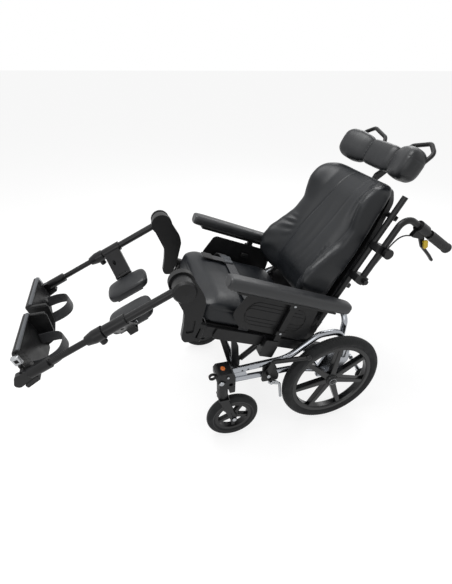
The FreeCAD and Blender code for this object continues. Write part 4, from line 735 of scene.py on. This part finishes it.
t = np.linspace(handGrip["from"], handGrip["to"], 260)
run = (t - handGrip["from"]) / (handGrip["to"] - handGrip["from"])
ribs = 0.5 - 0.5 * np.cos(2 * math.pi * (t - handGrip["from"]) / handGrip["pitch"])
radius = handGrip["radius"] + handGrip["rib"] * ribs * step01(run, 0.08, 0.12) * (1 - step01(run, 0.86, 0.9))
radius += (handGrip["flange"] - handGrip["radius"]) * step01(run, 0.9, 0.93)
radius *= np.clip(1 - step01(run, 0.965, 1.02), 0.2, 1) ** 0.3
for sign, side in sides:
    path = place("back", sign * handGrip["x"], gripLine(t), t)
    addPiece("handGrip_" + side, [sweepShape(path, circle(radius, 40), (1, 0, 0))], "gripRubber",
             "push_handle_" + side, sharp=0)
print("wheels and grips done")

# small fittings


def scattered(shape, offsets):
    # copies of one small closed shape, moved by each offset
    points, quads, tris = shape
    offsets = np.asarray(offsets, float)
    shift = (np.arange(len(offsets)) * len(points))[:, None, None]
    return ((points[None] + offsets[:, None]).reshape(-1, 3), (quads[None] + shift).reshape(-1, 4),
            (tris[None] + shift).reshape(-1, 3))


def dome(at, x, u, v, radius, tall, facing=1):
    # round headed screw across the chair: a flat edge, then a quarter ellipse
    turn = np.linspace(0, math.pi / 2 - 0.12, 7)
    head = np.stack([tall * (0.25 + 0.75 * np.sin(turn)), radius * np.cos(turn) ** 0.8], axis=-1)
    return lathe(np.concatenate([[(-0.6, radius)], head]), place(at, x, u, v), (facing, 0, 0), 24)


hubCap = {"x": 297.6, "z": 200, "ring": 13.5, "wire": 0.7, "ringAt": 2,
          "profile": ((-1, 19.5), (1.6, 19), (2.8, 17.5), (2.8, 15), (1.6, 14), (1.6, 9), (2.4, 8), (3.4, 5), (3.8, 1))}
for sign, side in sides:
    centre = place("ground", sign * hubCap["x"], 0, hubCap["z"])
    cap = lathe(hubCap["profile"], centre, (sign, 0, 0), 64)
    around, turn = np.meshgrid(np.linspace(0, 2 * math.pi, 64, endpoint=False),
                               np.linspace(0, 2 * math.pi, 12, endpoint=False), indexing="ij")
    reach = hubCap["ring"] + hubCap["wire"] * np.cos(turn)
    ringGrid = centre + np.stack([sign * (hubCap["ringAt"] + hubCap["wire"] * np.sin(turn)), reach * np.cos(around),
                                  reach * np.sin(around)], axis=-1) / 1000
    addPiece("hubCap_" + side, [cap], "glossNylon", "rear_wheel_" + side)
    addPiece("hubRing_" + side, [gridShape(ringGrid, ring=True)], "brightZinc", "rear_wheel_" + side)

# printed oval on the castor block: its middle and half sizes
topMark = {"at": (257, 426, 338.2), "half": (10.5, 8, 1.0)}
for sign, side in sides:
    x, f, z = topMark["at"]
    mark = superPad(("ground", sign * x, f, z), topMark["half"], (2, 2), rows=16, columns=32)
    addPiece("topMark_" + side, [mark], "orangeLacquer", "base")

# round headed screws: side view lines, body, then x, u, v, radius and height of each head
screws = {
    "baseBolts": ("ground", "base", ((290.6, 438, 300, 9, 5), (290.6, 415, 322, 4.5, 3), (281.8, 262, 280, 7, 4),
                                     (281.8, 248, 243, 6.5, 4))),
    "forkScrew": ("ground", "castor_fork_", ((293.5, 389, 100, 8, 4),)),
    "postScrew": ("seat", "armrest_", ((246.4, -190, 212, 5, 3), (246.4, -190, 96, 4.5, 2.5))),
}
for sign, side in sides:
    for name, (at, body, heads) in screws.items():
        domes = [dome(at, sign * x, u, v, radius, tall, sign) for x, u, v, radius, tall in heads]
        addPiece(name + "_" + side, domes, "brightZinc", body if body == "base" else body + side)

# footplates: rubber dots in rows, rolled toe strip whose grey is a painted highlight, bright stop block with a thin
# near black plate as painted shade of its square socket
footDots = {"radius": 1.7, "tall": 1.3, "pitch": 8.0, "rowShare": 0.87}
toeStrip = {"from": 26, "to": 210, "u": 66.0, "v": 8.5, "radius": 5.6}
stopBlock = {"x": (219, 232), "u": (30, 60), "v": (-14, 9)}
# thin near black plate on the block's face: painted shade of the square socket hole
paintedSocketShade = {"x": (231.6, 232.6), "u": (39, 51), "v": (-8, 3)}


def onFoot(sign, block):
    # a block on the footplate of one side
    return boxShape("foot", (sign * block["x"][0], sign * block["x"][1]), block["u"], block["v"])


for sign, side in sides:
    row, column = np.meshgrid(np.arange(-9, 7), np.arange(0, 24), indexing="ij")
    u = 4 + row * footDots["pitch"] * footDots["rowShare"]
    x = 34 + (column + 0.5 * (row % 2)) * footDots["pitch"]
    inner = (np.abs(x - 78) / 44 + np.abs(u - 2) / 46 < 1)                                  # a lozenge under the heel
    edge = (u > 44) & (x < 206) & (x > 32)                                                  # rows along the toe
    outer = (x > 168) & (x < 208) & (u > -26) & (u < 40) & ((row + column) % 2 == 0)        # sparse by the tube
    keep = inner | edge | outer
    spots = place("foot", sign * x[keep], u[keep], 0.0 * u[keep])
    one = lathe([(-0.4, footDots["radius"]), (0.6 * footDots["tall"], 0.8 * footDots["radius"]),
                 (footDots["tall"], 0.3 * footDots["radius"])], (0, 0, 0), across("foot", 0, 1), 8)
    addPiece("footDots_" + side, [scattered(one, spots)], "gripRubber", "footplate_" + side, sharp=0)
    line = np.linspace(toeStrip["from"], toeStrip["to"], 40)
    strip = sweepShape(place("foot", sign * line, toeStrip["u"], toeStrip["v"]),
                       circle(toeStrip["radius"] + 0 * line, 24), across("foot", 1, 0))
    # the toe strip's grey is a painted highlight: the rolled edge itself is black
    addPiece("toeStrip_" + side, [strip], "satinAcetalAndPaintedHighlight", "footplate_" + side, sharp=0)
    addPiece("stopBlock_" + side, [onFoot(sign, stopBlock)], "brushedSteel", "footplate_" + side,
             bevel=2)
    # the socket is no hole: a near black plate stands out from the block's face as painted shade
    addPiece("paintedSocketShade_" + side, [onFoot(sign, paintedSocketShade)], "hookPileAndPaintedShade", "footplate_" + side)

# belt buckle with its two prongs, the clip at the side, and the patch at the strap's end:
# finish, rounding, then the blocks' from and to in x, u, v
beltBlocks = {
    "beltBuckle": ("satinAcetalAndPaintedHighlight", 3, (((-150, -122), (-85, -45), (top - 1, top + 12)),
                                      ((-119, -90), (-83, -47), (top - 1, top + 12.5)))),
    "beltProngs": ("mouldedNylon", 1.5, (((-124, -116), (-80, -72), (top + 1, top + 10)),
                                         ((-124, -116), (-58, -50), (top + 1, top + 10)))),
    "sideBuckle": ("mouldedNylon", 2, (((-216, -204), (-192, -160), (160, 178)),
                                       ((-219, -203), (-184, -168), (164, 174)))),
}
for name, (finishName, rounding, blocks) in beltBlocks.items():
    addPiece(name, [boxShape("seat", *block) for block in blocks], finishName, "seat", bevel=rounding)
beltPatch = {"at": (-112, 24, top + 6.5), "half": (24, 22, 2.6)}
patch = superPad(("seat",) + beltPatch["at"], beltPatch["half"], (6, 8), rows=24, columns=40)
addPiece("beltPatch", [patch], "hookPileAndPaintedShade", "seat", sharp=0)

# brake cables

brakeCable = {"diameter": 0.005,
              # x, h, t of the route in back lines, as in the solid
              "route": ((232, 446, 99.7), (232, 440, 74), (228, 404, 58), (226, 330, 54), (224, 290, 52),
                        (222, 250, 50.8))}
for sign, side in sides:
    route = np.array(brakeCable["route"], float)
    control = place("back", sign * route[:, 0], route[:, 1], route[:, 2])
    curve = bpy.data.curves.new("cableRoute_" + side, "CURVE")
    curve.dimensions, curve.resolution_u = "3D", 10
    spline = curve.splines.new("NURBS")
    spline.points.add(len(control) - 1)
    weighted = np.concatenate([control, np.ones((len(control), 1))], axis=1)
    spline.points.foreach_set("co", weighted.ravel().astype(np.float32))
    spline.order_u, spline.use_endpoint_u = 3, True
    carrier = bpy.data.objects.new("cableRoute_" + side, curve)
    scene.collection.objects.link(carrier)
    path = getPoints(bpy.data.meshes.new_from_object(carrier.evaluated_get(bpy.context.evaluated_depsgraph_get())))
    bpy.data.objects.remove(carrier)
    jacket = circle(brakeCable["diameter"] * 500 + 0 * path[:, 0], 16)
    piece = addPiece("brakeCable_" + side, [sweepShape(path, jacket, (1, 0, 0))], "cableVinyl", None, sharp=0)
    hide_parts("brake_cables")
    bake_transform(piece)
print("fittings and cables done")

# room, lamps and camera

room = {"floorSize": 60, "floorColour": "#8a8a8a", "floorGlow": 0.80, "worldDiffuse": 0.52}


def directRays(tree):
    # 1 for what the camera sees, straight, mirrored or through glass, and 0 for light on the object
    rays = addNode(tree, "ShaderNodeLightPath")
    seen = addNode(tree, "ShaderNodeMath", {"operation": "ADD"},
                   links={0: rays.outputs["Is Camera Ray"], 1: rays.outputs["Is Glossy Ray"]})
    seen = addNode(tree, "ShaderNodeMath", {"operation": "ADD", "use_clamp": True},
                   links={0: seen.outputs[0], 1: rays.outputs["Is Transmission Ray"]})
    return seen.outputs[0]


floorMesh = bpy.data.meshes.new("floor")
reach = room["floorSize"] / 2
corners = [(-reach, -reach, 0), (reach, -reach, 0), (reach, reach, 0), (-reach, reach, 0)]
floorMesh.from_pydata(corners, [], [(0, 1, 2, 3)])
floor = bpy.data.objects.new("floor", floorMesh)
scene.collection.objects.link(floor)
floorPaint = bpy.data.materials.new("paleFloor")
floorPaint.use_nodes = True
tree = floorPaint.node_tree
tree.nodes.clear()
glowPower = addNode(tree, "ShaderNodeMath", {"operation": "MULTIPLY"}, {1: room["floorGlow"]}, {0: directRays(tree)})
glow = addNode(tree, "ShaderNodeEmission", values={"Color": (1, 1, 1, 1)}, links={"Strength": glowPower.outputs[0]})
paint = addNode(tree, "ShaderNodeBsdfDiffuse", values={"Color": linear(room["floorColour"])})
both = addNode(tree, "ShaderNodeAddShader", links={0: glow.outputs[0], 1: paint.outputs[0]})
addNode(tree, "ShaderNodeOutputMaterial", links={"Surface": both.outputs[0]})
floorMesh.materials.append(floorPaint)

world = bpy.data.worlds.new("paleRoom")
scene.world = world
world.use_nodes = True
tree = world.node_tree
tree.nodes.clear()
power = addNode(tree, "ShaderNodeMapRange", values={"To Min": room["worldDiffuse"], "To Max": 1.0},
                links={"Value": directRays(tree)})
sky = addNode(tree, "ShaderNodeBackground", values={"Color": (1, 1, 1, 1)}, links={"Strength": power.outputs[0]})
addNode(tree, "ShaderNodeOutputWorld", links={"Surface": sky.outputs[0]})

lamps = {
    "overhead": {"at": (-0.3, -0.5, 2.9), "size": 1.9, "power": 58},
    "nearFill": {"at": (2.6, -1.4, 1.9), "size": 1.6, "power": 14},
    "rearRim": {"at": (-1.6, 1.9, 2.2), "size": 1.4, "power": 18},
}
for name, lamp in lamps.items():
    light = bpy.data.lights.new(name, "AREA")
    light.shape, light.size, light.energy = "DISK", lamp["size"], lamp["power"]
    lampObject = bpy.data.objects.new(name, light)
    scene.collection.objects.link(lampObject)
    lampObject.location = lamp["at"]
    lampObject.rotation_euler = (Vector((0, 0, 0.5)) - Vector(lamp["at"])).to_track_quat("-Z", "Y").to_euler()

camera = {"at": (1.149347, -0.346964, 1.254583), "right": (0.269087, 0.963040, 0.012076),
          "up": (-0.527848, 0.136977, 0.838220), "view": (-0.805586, 0.231928, -0.545198), "lens": 29.534, "sensor": 36}
lens = bpy.data.cameras.new("photoCamera")
lens.sensor_fit, lens.sensor_width, lens.lens = "HORIZONTAL", camera["sensor"], camera["lens"]
lens.clip_end = 200
eye = bpy.data.objects.new("photoCamera", lens)
scene.collection.objects.link(eye)
turned = Matrix((camera["right"], camera["up"], [-c for c in camera["view"]])).transposed()
eye.matrix_world = Matrix.Translation(camera["at"]) @ turned.to_4x4()
scene.camera = eye

scene.view_settings.view_transform = "Standard"
